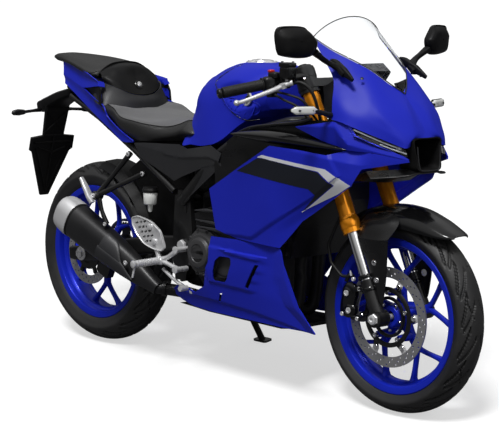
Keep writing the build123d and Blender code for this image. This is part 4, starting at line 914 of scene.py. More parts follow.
def build_tank():
    """The tank: a surface through its cross sections, raised inside the cover's outline, sunk inside
    the knee hollow and lowered inside the facet on top, with ribs and seams laid on it."""
    grid = net(loft(TANK), 8, 8)
    x, z = grid[..., 0], grid[..., 2]
    cover = inside(x, z, [(70, 1030), (34, 982), (8, 962), (-2, 946), (66, 896), (112, 860), (160, 838),
                          (240, 842), (240, 1030)])
    hollow = inside(x, z, [(30, 935), (110, 960), (190, 940), (200, 880), (130, 868), (84, 892)])
    grid[..., 1] += 4 * eased(cover, -2, 3) * eased(grid[..., 1], 40, 90) - 9 * eased(hollow, -2, 18)
    facet = inside(x, z, [(-120, 962), (-20, 1004), (60, 1008), (30, 984), (-6, 948), (-70, 930)])
    grid[..., 2] -= 3 * eased(facet, 0, 16)
    piece("tank_shell", both(patch(closed_half(grid))), "royal blue paint", replaces="fuel_tank", sharp=50,
          merge=0.4)
    seam_line = smooth(on_grid(grid, smooth(TANK_SEAM, 4), -0.6), 2)
    ribs = []
    for share in np.arange(7) / 6:
        low, high = (74 + 100 * share, 882 - 30 * share), (84 + 104 * share, 899 - 16 * share)
        ribs.append(pipe(on_grid(grid, [low, high], 0.5), 2.2, 1, 8))
    frame = on_grid(grid, [(62, 903), (110, 903), (196, 890), (186, 858), (140, 856), (96, 872), (66, 900)], 0)
    ribs.append(pipe(frame, 1.6, 4, 8))
    piece("tank_ribs", both(*ribs), "royal blue paint", sharp=60)
    badge_at = (160, on_grid(grid, [(160, 903)])[0, 1] - 2, 903)
    badge_way = (-0.1, 0.97, 0.22)
    ring = turned([(0, 17), (0, 21.5), (4, 21.5), (5, 20), (5, 18), (3, 17)], badge_at, badge_way, 40)
    disc = turned([(0, 0.1), (0, 17.5), (3, 17.5), (3, 10), (4.5, 9), (4.5, 0.1)], badge_at, badge_way, 40)
    piece("tank_badge_ring", both(ring), "satin alloy")
    piece("tank_seams", both(pipe(seam_line, 2, 1, 8), disc), "gloss black", sharp=50)


def build_fuel_cap():
    """The cap, a stepped profile turned about an upright axis, with its lock lid and five screws."""
    cap = turned([(0, 50), (3, 52), (6, 50), (6, 44), (7.5, 43), (8, 36), (11, 34), (12, 28), (12, 0.1)],
                 (78, 0, 1006), UP, 64)
    lid = block((64, 0, 1018), (20, 11, 4), 4, rows=8, count=24)
    screws = [turned([(0, 0.1), (0, 4), (2, 4), (3, 2.8), (3, 0.1)],
                     (78 + 43 * math.cos(turn), 43 * math.sin(turn), 1013), UP, 12)
              for turn in (0.5, 1.6, 2.7, 3.8, 5)]
    piece("fuel_cap_details", [cap, lid] + screws, "satin alloy", replaces="fuel_cap", sharp=35)


# ---- Seats and tail ----

RIDER = [
    (-72, [(0, 786), (38, 786), (70, 786), (98, 786), (126, 783), (140, 777), (128, 771)]),
    (-92, [(0, 812), (38, 812), (68, 812), (94, 809), (130, 796), (150, 779), (136, 764)]),
    (-125, [(0, 826), (38, 826), (68, 825), (94, 822), (128, 806), (149, 781), (134, 759)]),
    (-155, [(0, 826), (38, 825), (70, 823), (94, 819), (122, 802), (140, 779), (126, 753)]),
    (-180, [(0, 817), (42, 815), (82, 811), (108, 805), (126, 794), (138, 771), (124, 747)]),
    (-230, [(0, 812), (46, 809), (90, 803), (120, 794), (137, 782), (144, 760), (132, 742)]),
    (-300, [(0, 812), (52, 806), (104, 801), (138, 796), (154, 784), (158, 757), (148, 737)]),
    (-360, [(0, 816), (56, 811), (110, 803), (147, 802), (160, 791), (161, 762), (150, 739)]),
    (-430, [(0, 822), (60, 820), (116, 816), (151, 812), (163, 803), (163, 781), (150, 757)]),
    (-475, [(0, 828), (52, 827), (98, 834), (140, 836), (157, 828), (158, 808), (150, 788)]),
]
RIDER_REAR = [(-503, 0, 829), (-503, 44, 829), (-510, 84, 835), (-524, 122, 843), (-536, 142, 841),
              (-540, 152, 830), (-528, 144, 812)]
HUMP = [
    [(-503, 0, 873), (-505, 30, 875), (-510, 56, 881), (-520, 80, 890), (-538, 100, 901),
     (-556, 110, 910), (-575, 115, 917)],
    [(-527, 0, 903), (-524, 30, 905), (-526, 56, 908), (-533, 80, 914), (-547, 100, 920),
     (-563, 112, 924), (-580, 118, 927)],
    [(-545, 0, 935), (-542, 30, 936), (-543, 52, 937), (-548, 74, 936), (-558, 94, 935),
     (-570, 109, 934), (-584, 117, 934)],
    [(-560, 0, 966), (-558, 30, 964), (-560, 50, 960), (-564, 70, 955), (-570, 88, 948),
     (-578, 104, 942), (-588, 114, 939)],
    [(-582, 0, 976), (-581, 30, 974), (-581, 52, 969), (-583, 72, 963), (-586, 90, 955),
     (-590, 104, 948), (-594, 113, 943)],
    [(-611, 0, 978), (-610, 30, 976), (-608, 52, 972), (-606, 72, 966), (-603, 90, 958),
     (-601, 104, 950), (-600, 113, 944)],
]
PAD = [
    (-606, [(0, 981), (32, 979), (56, 975), (76, 967), (94, 957), (110, 945), (116, 934)]),
    (-640, [(0, 985), (46, 982), (86, 969), (110, 954), (122, 945), (121, 933), (104, 925)]),
    (-720, [(0, 994), (46, 990), (80, 979), (98, 965), (105, 957), (103, 947), (90, 940)]),
    (-800, [(0, 998), (42, 995), (64, 988), (77, 978), (83, 971), (80, 962), (70, 956)]),
    (-880, [(0, 1001), (32, 998), (46, 993), (54, 985), (57, 978), (54, 971), (46, 966)]),
    (-950, [(0, 996), (16, 995), (26, 990), (30, 985), (31, 980), (29, 975), (24, 971)]),
    (-986, [(0, 988), (6, 988), (9, 986), (11, 984), (11, 981), (10, 979), (8, 978)]),
]


def build_rider_seat():
    """The rider's seat: a surface through its cross sections. Inside the seam the cover puffs up by
    a root of a sine across, which fades to both ends by a root of a sine along."""
    grid = net(loft(RIDER) + [RIDER_REAR], 8, 8)
    seam = 8 * 3 + 4
    puff = np.zeros(grid.shape[:2])
    puff[:, :seam + 1] = 3 * np.sin(np.linspace(0, np.pi / 2, seam + 1)[::-1])[None] ** 0.5
    grid[..., 2] += puff * (np.sin(np.linspace(0, np.pi, grid.shape[0])) ** 0.4)[:, None]
    top, side = grid[:, :seam + 1], grid[:, seam:]
    cover = patch(np.concatenate([top[:1] * (1, 0, 1), top]))
    rim = patch(np.concatenate([top[:, -1:], top[:, -1:] + (0, 0, -3)], 1))
    piece("seat_top_cover", both(cover, rim), "seat cover", replaces="rider_seat", sharp=60, merge=0.4)
    piece("seat_side_cover", both(patch(closed_half(side))), "seat vinyl", sharp=60, merge=0.4)
    piece("seat_piping", both(pipe(top[::4, -1] + (0, 0.6, 0.3), 1.5, 2, 8)), "matt black plastic", sharp=60)


def build_pillion_seat():
    """The pillion seat: a hump and a long pad, each a closed surface through its rows of points, the
    piping along two of the pad's lines, and a turned lock."""
    pad = net(loft(PAD), 8, 8)
    piece("pillion_hump", both(patch(closed_half(net(HUMP, 8, 8)))), "matt black plastic",
          replaces="pillion_seat", sharp=28, merge=0.4)
    piece("pillion_pad", both(patch(closed_half(pad))), "seat vinyl", sharp=50, merge=0.4)
    piping = pipe(pad[2::6, 34] + (0, 0.5, 0), 1.6, 2, 8), pipe(pad[0, ::3] + (1.5, 0, 0.5), 2.2, 2, 8)
    piece("pad_piping", both(*piping), "matt black plastic", sharp=60)
    lock_at, lock_way = (-527, 0, 905), (0.86, 0, 0.5)
    collar = turned([(-4, 0.1), (-4, 17), (2, 17), (4, 15), (4, 12.5), (0, 12), (0, 0.1)], lock_at, lock_way, 32)
    barrel = turned([(0, 0.1), (0, 10.5), (6, 10), (7, 8.5), (7, 2.5), (5, 2), (5, 0.1)], lock_at, lock_way, 32)
    piece("seat_lock_collar", [collar], "gloss black")
    piece("seat_lock", [barrel], "chromed steel")


def build_seat_trim():
    """The trim behind the rider's seat, a surface through three lines, and the tray under the seat,
    a flat rounded profile carried along its line."""
    low = [(-484, 0, 826), (-488, 50, 826), (-500, 90, 832), (-520, 126, 838), (-540, 148, 838), (-575, 148, 846),
           (-620, 128, 858), (-700, 96, 870)]
    middle = [(-488, 0, 852), (-492, 44, 854), (-503, 80, 859), (-522, 110, 866), (-545, 130, 872),
              (-575, 138, 878), (-620, 122, 888), (-700, 94, 900)]
    high = [(-497, 0, 870), (-500, 32, 873), (-505, 58, 879), (-515, 84, 890), (-535, 106, 902), (-556, 119, 911),
            (-600, 122, 922), (-690, 92, 932)]
    grid = net([low, middle, high], 8, 8)
    piece("seat_surround", both(sheet(grid)), "graphite plastic", replaces="seat_trim", wall=4,
          merge=0.4)
    path = [(-560, 0, 826), (-500, 0, 794), (-440, 0, 766), (-380, 0, 750), (-320, 0, 736), (-220, 0, 732),
            (-120, 0, 738)]
    size = [(116, 34), (130, 36), (134, 36), (134, 34), (126, 30), (118, 30), (98, 30)]
    tray = limb(path, size, 4, oval(28, 5))
    piece("seat_tray", [tray], "matt black plastic", sharp=45)


def build_tail():
    """The blue tail: an upper blade and a lower limb, each a surface through three lines, closed at
    both ends of the blade, with a black infill and an inner wall between them."""
    top = [(-882, 52, 977), (-781, 84, 963), (-681, 118, 948), (-560, 157, 921)]
    fold = [(-876, 54, 952), (-780, 78, 936), (-690, 104, 920), (-556, 156, 914)]
    step = [(-866, 62, 925), (-780, 84, 906), (-700, 108, 890), (-550, 160, 904)]
    upper = net([top, fold, step], 8, 8)
    high = [(-866, 62, 925), (-780, 84, 906), (-700, 108, 890), (-600, 140, 862), (-530, 157, 842),
            (-512, 161, 826), (-500, 161, 806), (-440, 160, 768), (-368, 158, 733)]
    inner = [(-858, 62, 910), (-776, 84, 886), (-694, 106, 864), (-600, 132, 834), (-534, 146, 812),
             (-504, 150, 794), (-484, 152, 776), (-434, 154, 746), (-368, 155, 731)]
    lower = [(-850, 68, 895), (-772, 88, 868), (-690, 110, 838), (-600, 134, 806), (-540, 143, 780),
             (-500, 147, 762), (-468, 150, 745), (-430, 152, 727), (-370, 154, 728)]
    lower_limb = net([high, inner, lower], 8, 8)
    end = np.stack([upper[:, -1], upper[:, -1] + (4, -26, -4)], 1)
    back = np.stack([upper[:, 0], upper[:, 0] * (1, 0.72, 1) + (-4, 0, 0)], 1)
    panels = [sheet(grid) for grid in (upper, lower_limb, end)]
    piece("tail_panels", both(*panels, patch(back)), "royal blue paint", replaces="tail_cowl", wall=3.5, sharp=32,
          merge=0.4)
    infill = strip([(-705, 888), (-640, 893), (-590, 901), (-552, 906), (-540, 880)],
                   [(-700, 880), (-640, 864), (-590, 850), (-552, 842), (-535, 836)], 8, 8)
    infill = draped(infill, lambda x, z: np.interp(x, [-705, -600, -552, -535], [98, 132, 153, 157]))
    piece("tail_infill", both(sheet(infill)), "matt black plastic", wall=2)
    piece("tail_inner_wall", both(sheet(infill[3:-3, 2:-2] - (0, 4, 0))), "royal blue paint",
          wall=1.5)
    lamp = block((-900, 0, 957), (22, 44, 15), 5, rows=10, count=32)
    piece("tail_lamp_lens", [lamp], "red lens", replaces="tail_light")


def build_side_covers():
    """The dark side covers under the seat, two strips at one width: it falls off to both sides of a
    fold, and a soft step above the fold stands out at the front."""
    top = [(-370, 727), (-300, 733), (-200, 738), (-130, 742), (-82, 731), (34, 752), (90, 731), (84, 714)]
    low = [(-337, 680), (-262, 655), (-200, 634), (-165, 620), (-120, 638), (-8, 677), (60, 690), (80, 700)]

    def width(x, z):
        base = np.interp(x, [-385, -100, 112], [150, 172, 186])
        fold = np.interp(x, [-385, -130, 34, 112], [724, 700, 716, 700])
        return base - 0.16 * np.abs(z - fold) + 3 * eased(z - fold, -6, 0) * eased(x, -260, -200)

    main = draped(strip(top, low, 16, 20), width)
    leg_top = [(-8, 679), (40, 690), (84, 700), (90, 694)]
    leg_low = [(-112, 590), (-109, 580), (-106, 575), (-98, 570)]
    leg = draped(strip(leg_top, leg_low, 12, 20), width)
    piece("side_cover_panels", both(sheet(main), sheet(leg)), "graphite plastic",
          replaces="side_covers", wall=3, sharp=30)


# ---- Wheels and tyres ----

SPOKE_FORK = 118
SPOKE_ANGLES = (90, 162, 234, 306, 18)


def wheel_point(axle, radius, degrees, y):
    """A point in the wheel's own round coordinates."""
    angle = np.radians(degrees)
    return np.stack(np.broadcast_arrays(axle[0] + radius * np.cos(angle), y, axle[2] + radius * np.sin(angle)), -1)


def cast_wheel(axle, half, hub_half, turn):
    """A cast wheel: a stepped barrel with rolled lips, a waisted hub and five forked spokes, each
    arm bending outwards along a smooth line and flaring where it meets the barrel."""
    lip = [(-half, 224), (-half, 231), (-half + 2, 233.5), (-half + 4.5, 233), (-half + 7, 227), (-half + 9, 219),
           (-half + 24, 218), (-half + 28, 214), (-half + 34, 206)]
    under = [(-half + 35, 197), (-half + 28, 200), (-half + 22, 208), (-half + 8, 209.5), (-half + 3, 213)]
    profile = lip + [(-y, r) for y, r in lip[::-1]] + [(-y, r) for y, r in under[::-1]] + under
    parts = [turned(profile, axle, count=120, closed=True)]
    hub = [(-hub_half, 17), (-hub_half, 29), (-hub_half + 5, 34), (-26, 37), (0, 41), (26, 37), (hub_half - 5, 34),
           (hub_half, 29), (hub_half, 17)]
    parts.append(turned(hub, axle, count=56, closed=True))
    section = oval(16, 3.2)
    for k in range(5):
        base = turn + 72 * k
        root = wheel_point(axle, np.array([28.0, 60.0, 92.0, 116.0]), base, 0.0)
        parts.append(limb(root, [(19, 15), (14, 12), (12.5, 10.5), (14, 9.5)], 6, section, ACROSS))
        for side in SIDES:
            reach = np.array([98.0, SPOKE_FORK, 140.0, 166.0, 188.0, 203.0])
            lean = base + side * np.array([0.0, 3.4, 9.6, 15.4, 18.9, 20.4])
            arm_size = [(8, 9), (7.6, 9), (6.6, 8.5), (6.4, 9), (7.6, 11), (11, 17)]
            parts.append(limb(wheel_point(axle, reach, lean, 0), arm_size, 6, section, ACROSS))
    return parts


# Families of tread grooves: a divider of the pitches, the shift, shear and bend of their lines, and the
# shares of the half width where they start and stop.
GROOVES = ((1, 0, 1.25, 0.9, 0.1, 0.84), (1, 0.5, 1.9, 1.5, 0.48, 0.93), (2, 0.2, -0.8, 1, 0.26, 0.66))
GROOVE_DEPTH = 6
TYRE_STEPS = 960


def tyre_grid(axle, radius, half, rim_half, pitches):
    """A tyre: a round crown, ringed sidewalls and beads, with families of grooves cut in.
    Each groove follows turn = whole pitch + shift + shear * (share of the half width) ** bend; its
    depth falls away smoothly to both sides of that line and at both of its ends."""
    belly = 232 + 0.45 * (radius - 232)
    centre = (radius ** 2 - belly ** 2 - half ** 2) / (2 * (radius - belly))
    reach = radius - centre
    limit = math.atan2(half, belly - centre)
    fan = np.linspace(-limit, limit, 45)
    crown = np.stack([reach * np.sin(fan), centre + reach * np.cos(fan)], -1)
    side = np.array([(rim_half - 7, 225), (rim_half - 4, 233), (rim_half + 0.5, 236), (rim_half + 1.5, 240),
                     (rim_half + 4.5, 243), (rim_half + 5.5, 247), (half - 1.6, belly - 8),
                     (half - 0.4, belly - 3)])
    line = np.concatenate([side * (-1, 1), crown, side[::-1]])
    slope = np.gradient(line, axis=0)
    out = np.stack([-slope[:, 1], slope[:, 0]], -1)
    out /= np.linalg.norm(out, axis=1, keepdims=True)
    out *= np.sign(out[:, 1:] * (radius - 30 < line[:, 1:]) + 1e-9)
    share = np.clip(line[:, 0] / half, -1, 1)[:, None]
    wide = np.abs(share)
    angle = np.linspace(0, 1, TYRE_STEPS, endpoint=False)[None]
    depth = np.zeros((len(line), TYRE_STEPS))
    for divider, shift, shear, bend, start, stop in GROOVES:
        steps = pitches // divider
        phase = angle * steps + shift * (1 + 0.5 * np.sign(share)) + shear * wide ** bend
        across = np.abs(phase - np.round(phase)) * 2 * math.pi * radius / steps / math.hypot(1, shear * steps * 0.1)
        ends = eased(wide, start, start + 0.06) * eased(-wide, -stop, -stop + 0.06)
        depth += GROOVE_DEPTH * eased(-across, -4, -2.2) * ends
    depth = np.minimum(depth, GROOVE_DEPTH) * (line[:, 1:] > belly)
    spot = line[:, None] - out[:, None] * depth[..., None]
    turn = angle[0] * 2 * math.pi
    return np.stack([axle[0] + spot[..., 1] * np.cos(turn), spot[..., 0],
                     axle[2] + spot[..., 1] * np.sin(turn)], -1)


def build_front_wheel():
    """The front casting with a boss for the disc on each spoke, and its tyre."""
    parts = cast_wheel(FRONT_AXLE, 44, 52, 90)
    for degrees in SPOKE_ANGLES:
        spot = wheel_point(FRONT_AXLE, 72, degrees, -8)
        parts.append(turned([(0, 13), (-40, 10.5), (-49, 10), (-49, 0.1)], spot, ACROSS, 20))
    piece("front_wheel_casting", parts, "wheel blue paint", body="front_wheel", replaces="front_rim", sharp=35,
          merge=0.3)
    grid = tyre_grid(FRONT_AXLE, 293, 55, 44, 18)
    piece("front_tyre_tread", [patch(grid, loop_v=True)], "tyre rubber", body="front_wheel",
          replaces="front_tyre", sharp=50)


def build_rear_wheel():
    """The rear casting and its tyre."""
    parts = cast_wheel(REAR_AXLE, 55, 62, 54)
    piece("rear_wheel_casting", parts, "wheel blue paint", body="rear_wheel", replaces="rear_rim", sharp=35,
          merge=0.3)
    grid = tyre_grid(REAR_AXLE, 314, 70, 55, 18)
    piece("rear_tyre_tread", [patch(grid, loop_v=True)], "tyre rubber", body="rear_wheel",
          replaces="rear_tyre", sharp=50)


def build_brakes():
    """The disc carrier: two turned rings and six curved arms, with a tab and a button at each arm's
    end and a bolt at each spoke."""
    outer = [(-66, 77), (-66, 88), (-64.5, 90), (-60, 90), (-60, 76), (-64.5, 76)]
    inner = [(-60, 52), (-62, 53), (-62, 60), (-60, 61), (-54, 61), (-54, 52)]
    black = [turned(outer, FRONT_AXLE, count=96, closed=True), turned(inner, FRONT_AXLE, count=80, closed=True)]
    steel, bright = [], []
    plate_section = oval(12, 6)
    for degrees in range(6, 366, 60):
        swing = degrees + np.array([-7.0, -3.0, 0.0])
        arm = smooth(wheel_point(FRONT_AXLE, np.array([82.0, 92.0, 106.0]), swing, -63.0), 4)
        black.append(sweep(arm, plate_section, (9, 2.2), ACROSS))
        tab = smooth(wheel_point(FRONT_AXLE, np.array([122.0, 112.0, 102.0]), degrees, -62.0), 2)
        steel.append(sweep(tab, plate_section, (11, 1.8), ACROSS))
        spot = wheel_point(FRONT_AXLE, 103, degrees, -60)
        bright.append(turned([(0, 8.5), (-7, 8.5), (-8, 7.5), (-8, 4), (-6.5, 3.5), (-6.5, 0.1)], spot, ACROSS, 24))
    for degrees in SPOKE_ANGLES:
        spot = wheel_point(FRONT_AXLE, 74, degrees, -60)
        bright.append(turned([(0, 7.5), (-6, 7.5), (-11, 6.5), (-11, 3.2), (-9, 3), (-9, 0.1)], spot, ACROSS, 20))
    for degrees in (57, 129, 201, 273, 345):
        spot = wheel_point(FRONT_AXLE, 40, degrees, -50)
        bright.append(turned([(0, 4.5), (-5, 4.5), (-6, 3.5), (-6, 0.1)], spot, ACROSS, 16))
    piece("disc_spider", black, "black metal", body="front_wheel", replaces="front_disc_carrier")
    piece("disc_tabs", steel, "satin alloy", body="front_wheel")
    piece("disc_buttons", bright, "chromed steel", body="front_wheel")


# ---- Front fender, fork and caliper ----

FENDER = [
    (127, [(0, 329), (34, 325), (56, 312), (66, 292), (68, 277)]),
    (112, [(0, 328), (34, 324), (56, 311), (67, 291), (70, 272)]),
    (96, [(0, 327), (34, 323), (56, 310), (67, 289), (70, 271)]),
    (80, [(0, 327), (34, 323), (56, 309), (66, 288), (68, 271)]),
    (66, [(0, 328), (33, 324), (54, 312), (62, 297), (64, 284)]),
    (57, [(0, 331), (30, 328), (48, 320), (55, 310), (57, 302)]),
    (52, [(0, 335), (22, 334), (38, 329), (44, 324), (45, 320)]),
    (50, [(0, 337), (12, 337), (22, 335), (27, 333), (28, 331)]),
]


def leg_point(z, side):
    """The centre of the fork leg on one side at height z."""
    return np.array([690 - (z - 293) * math.tan(RAKE), side * FORK_SPREAD, z])


def build_fender():
    """The fender: cross sections of (y, radius) round the front axle, smooth from one to the next,
    and the fork guards, surfaces through a few lines down each leg."""
    rows = [[tuple(wheel_point(FRONT_AXLE, float(r), degrees, float(y))) for y, r in section]
            for degrees, section in FENDER]
    shell = net(rows, 6, 8)
    shelf = net([[(598, 60, 584), (640, 60, 593), (690, 60, 597), (726, 58, 594)],
                 [(597, 86, 562), (640, 89, 570), (690, 88, 570), (732, 76, 566)],
                 [(599, 103, 522), (640, 105, 522), (684, 105, 523), (719, 103, 526)]], 6, 6)
    guard = net([[(600, 102, 523), (640, 106, 523), (684, 106, 524), (718, 101, 525)],
                 [(632, 101, 470), (660, 106, 470), (692, 106, 470), (716, 100, 472)],
                 [(660, 100, 410), (678, 105, 408), (698, 105, 408), (713, 99, 410)],
                 [(682, 99, 356), (690, 103, 354), (699, 103, 354), (706, 98, 358)],
                 [(692, 98, 340), (695, 100, 337), (699, 100, 337), (702, 98, 341)]], 6, 6)
    piece("fender_shell", both(sheet(shell)), "gloss black", body="steering",
          replaces="front_fender", wall=3, sharp=50, merge=0.3)
    piece("fork_guards", both(patch(shelf), patch(guard)), "satin black plastic", body="steering", wall=3.5,
          merge=0.3)
    bolts = [turned([(0, 10.5), (-5, 10.5), (-8, 8), (-8, 3.5), (-6, 3), (-6, 0.1)], (x, -103, z), ACROSS, 24)
             for x, z in ((672, 457), (683, 407))]
    piece("guard_bolts", both(*bolts), "chromed steel", body="steering")


def build_fork():
    """The rings on the fork legs: profiles turned about each leg's line, and the axle's nuts."""
    gold, dark = [], []
    collar = [(0, 24), (0, 29), (2, 30), (24, 30), (27, 29), (30, 27.5), (36, 27.5), (38, 26), (38, 24)]
    ring = [(0, 23.5), (3, 24.5), (10, 24.5), (12, 23.5), (12, 22), (0, 22)]
    for side in SIDES:
        foot, low = leg_point(546, side), leg_point(404, side)
        gold.append(turned(collar, foot, FORK_WAY, 48, True))
        dark.append(turned([(-7, 19), (-7, 24), (-5, 26), (0, 26), (0, 19)], foot, FORK_WAY, 48, True))
        dark.append(turned(ring, low, FORK_WAY, 40, True))
        dark.append(turned([(-40, 23), (-37, 24.5), (-30, 24.5), (-27, 23)], low, FORK_WAY, 40))
    piece("fork_collars", gold, "gold anodising", body="steering", sharp=35)
    piece("fork_seals", dark, "gloss black", body="steering", sharp=35)
    nut = [turned([(0, 17), (-8, 17), (-10, 15), (-16, 15), (-17, 13), (-17, 7), (-12, 6), (-12, 0.1)],
                  (690, -118, 293), ACROSS, 6),
           turned([(0, 19), (-4, 19), (-5, 18), (-5, 0.1)], (690, -116, 293), ACROSS, 32)]
    piece("axle_nuts", both(*nut), "satin alloy", body="steering", sharp=35)


def build_caliper():
    """The front caliper: a tilted soft-edged body with two piston housings, its arms to the fork leg,
    a hose fitting, and turned caps and bolts."""
    tilt = math.radians(12)
    axes = np.array([(math.cos(tilt), 0, -math.sin(tilt)), ACROSS, (math.sin(tilt), 0, math.cos(tilt))])
    black = [block((563, -92, 330), (54, 26, 108), 3.5, axes, 9, 28),
             block((572, -93, 302), (46, 30, 44), 2.4, axes, 8, 24),
             block((562, -93, 352), (46, 30, 44), 2.4, axes, 8, 24),
             pipe([(590, -94, 366), (622, -98, 372), (646, -99, 366)], [11, 9, 12], 4, 12),
             pipe([(580, -94, 282), (616, -98, 280), (650, -99, 292)], [10, 8, 12], 4, 12),
             pipe([(548, -92, 384), (556, -88, 402), (559, -80, 404)], [6, 6, 7], 4, 12)]
    bright = [turned([(0, 9), (-3, 9), (-3, 5), (-2, 4), (-2, 0.1)], (x, -107, z), ACROSS, 24)
              for x, z in ((574, 301), (564, 352))]
    bolt = [(0, 6.5), (-6, 6.5), (-7, 5.5), (-7, 2.5), (-5, 2), (-5, 0.1)]
    bright += [turned(bolt, (x, -99, z), ACROSS, 20) for x, z in ((612, 370), (606, 280), (586, 396), (544, 286))]
    bright.append(turned([(0, 3.5), (12, 3.5), (12, 2), (16, 2), (16, 0.1)], (566, -90, 402), (-0.3, 0, 1), 14))
    piece("caliper_body", black, "gloss black", body="steering", replaces="front_caliper", sharp=35)
    piece("caliper_bolts", bright, "satin alloy", body="steering", sharp=35)


# ---- Handlebar controls, mirrors and signals ----

GRIP_START = np.array([322.0, 232, 959])
GRIP_RUN = np.array([-59.0, 113, -25])
GRIP_LENGTH = float(np.linalg.norm(GRIP_RUN))
GRIP_WAY = GRIP_RUN / GRIP_LENGTH


def on_bar(along, ahead=0, up=0):
    """A point of the left handlebar, along mm out from the grip, moved ahead and up."""
    return GRIP_START + GRIP_WAY * along + np.array([ahead, 0, up])


def screw(place, axis, radius, depth=4, sides=20):
    """A cap screw with a socket, standing on place and pointing along the axis."""
    return turned([(0, radius), (depth * 0.8, radius), (depth, radius * 0.8), (depth, radius * 0.45),
                   (depth * 0.5, radius * 0.4), (depth * 0.5, 0.1)], place, axis, sides)


def build_grips():
    """The grips, a profile with even ribs turned about the bar, and the bar-end weights."""
    ribs = [(4 + 4.5 * k + step, radius) for k in range(27)
            for step, radius in ((0, 16.6), (2.2, 16.6), (3, 15.4), (3.7, 15.4))]
    profile = [(0, 11), (0, 20), (1.5, 21.5), (3.5, 21), (4, 17)] + ribs + [(126, 16.5), (128, 11)]
    grips = turned(profile, GRIP_START, GRIP_WAY, 40)
    weight = turned([(0, 10), (0, 13), (2, 15.2), (6, 15.5), (9, 15), (12, 12), (13, 5), (11, 4.5), (11, 0.1)],
                    on_bar(GRIP_LENGTH), GRIP_WAY, 32)
    piece("grip_sleeves", both(grips), "grip rubber", body="steering", replaces="grips", sharp=60)
    piece("bar_ends", both(weight), "satin black plastic", body="steering")


def build_levers():
    """The levers: a flat oval carried along a bent line, thinner towards its turned ball end."""
    line = [(400, 188, 968), (388, 206, 961), (376, 242, 946), (356, 285, 929), (336, 322, 914), (327, 341, 909)]
    blade = limb(line, [(10, 9), (11, 8), (9, 7), (7, 6.5), (6, 6), (5.5, 5.5)], 6, oval(16, 2.6))
    ball = turned([(-9, 0.1), (-8, 4), (-4.5, 7.8), (0, 9), (4.5, 7.8), (8, 4), (9, 0.1)],
                  (326, 342, 909), ACROSS, 20)
    knob = turned([(-7, 7), (-7, 10), (7, 10), (7, 7)], (388, 214, 958), (0, 0.3, 1), 12)
    piece("lever_blades", both(blade, ball, knob), "satin alloy", body="steering", replaces="levers", sharp=45)


def build_controls():
    """The pods, clamps and fluid cup on the bars: soft-edged boxes along the bar's own axes, with
    screws on them, hoses through a few points each, and the sleeves and caps of the fork tops."""
    across = np.cross(UP, GRIP_WAY)
    bar_axes = np.stack([GRIP_WAY, across / np.linalg.norm(across), np.cross(GRIP_WAY, across)])
    pods = [block(on_bar(-21), (40, 42, 44), 4, bar_axes),
            block(on_bar(-54, 4), (18, 38, 38), 3.5, bar_axes),
            pipe([on_bar(-52, 10), on_bar(-54, 34, 4), (386, 190, 962)], [11, 11, 10], 5, 16),
            turned([(-11, 9), (-9, 11.5), (9, 11.5), (11, 9)], (386, 197, 962), (0, 0.2, 1), 24),
            block((344, 203, 985), (30, 22, 16), 3)]
    right = [block((387, -194, 996), (38, 40, 38), 7), block((386, -195, 1020), (40, 42, 14), 7),
             pipe([(389, -186, 985), (386, -182, 972), (376, -186, 962)], [8, 8, 8], 4, 12),
             block((345, -208, 988), (36, 30, 20), 3.5),
             *[block((330, -214 + 7 * k, 934), (24, 4, 26), 4) for k in range(4)]]
    piece("switch_pods", both(*pods) + right, "satin black plastic", body="steering", replaces="bar_controls",
          sharp=45)
    switch = block((335, -212, 999), (24, 20, 10), 3, ((0.9, -0.4, 0.1), (0.4, 0.9, 0), (-0.1, 0, 1)))
    piece("kill_switch", [switch], "red switch", body="steering", sharp=45)
    bright = [screw((375, -206, 1027), UP, 4), screw((398, -184, 1027), UP, 4)]
    bright += both(screw((386, 197, 973), (0, 0.2, 1), 6, 5), screw((428, 165, 980), (0.5, 0.6, 0.4), 3.5, 4),
                   screw(on_bar(-21, 10, 18), (0.4, 0, 1), 3.5, 3))
    piece("control_screws", bright, "chromed steel", body="steering")
    hoses = [pipe(points, radius, 8, 12) for points, radius in (
        ([(384, -180, 962), (418, -168, 968), (446, -150, 940), (458, -132, 880), (452, -112, 820)], 5),
        ([(352, -202, 938), (392, -196, 932), (434, -176, 916), (450, -140, 866), (440, -96, 830)], 3.6),
        ([(346, -206, 930), (384, -204, 916), (424, -184, 896), (440, -146, 850), (430, -92, 822)], 3.6),
        ([(386, 186, 962), (420, 172, 970), (448, 150, 940), (456, 128, 880), (446, 104, 824)], 4.2),
        ([(346, 200, 934), (384, 190, 924), (414, 168, 900), (420, 128, 850)], 3.4),
        ([(389, -180, 984), (384, -168, 972), (378, -172, 962)], 5.5))]
    piece("bar_hoses", hoses, "grip rubber", body="steering", sharp=60)
    sleeves = [turned([(-80, 28), (-80, 31.5), (0, 31.5), (2, 28)], leg_point(1004, side), FORK_WAY, 36, True)
               for side in SIDES]
    caps = [turned([(0, 27), (2, 27), (4, 25.5), (6, 25.5), (6, 14), (12, 13), (12, 7), (9, 6), (9, 0.1)],
                   leg_point(1004, side), FORK_WAY, 36) for side in SIDES]
    piece("fork_caps", caps + sleeves, "black metal", body="steering", sharp=35)


MIRROR = [(262, 1052), (246, 1074), (242, 1090), (246, 1100), (264, 1119), (284, 1136), (318, 1139),
          (352, 1137), (365, 1130), (370, 1112), (366, 1082), (361, 1064), (350, 1054), (300, 1047)]


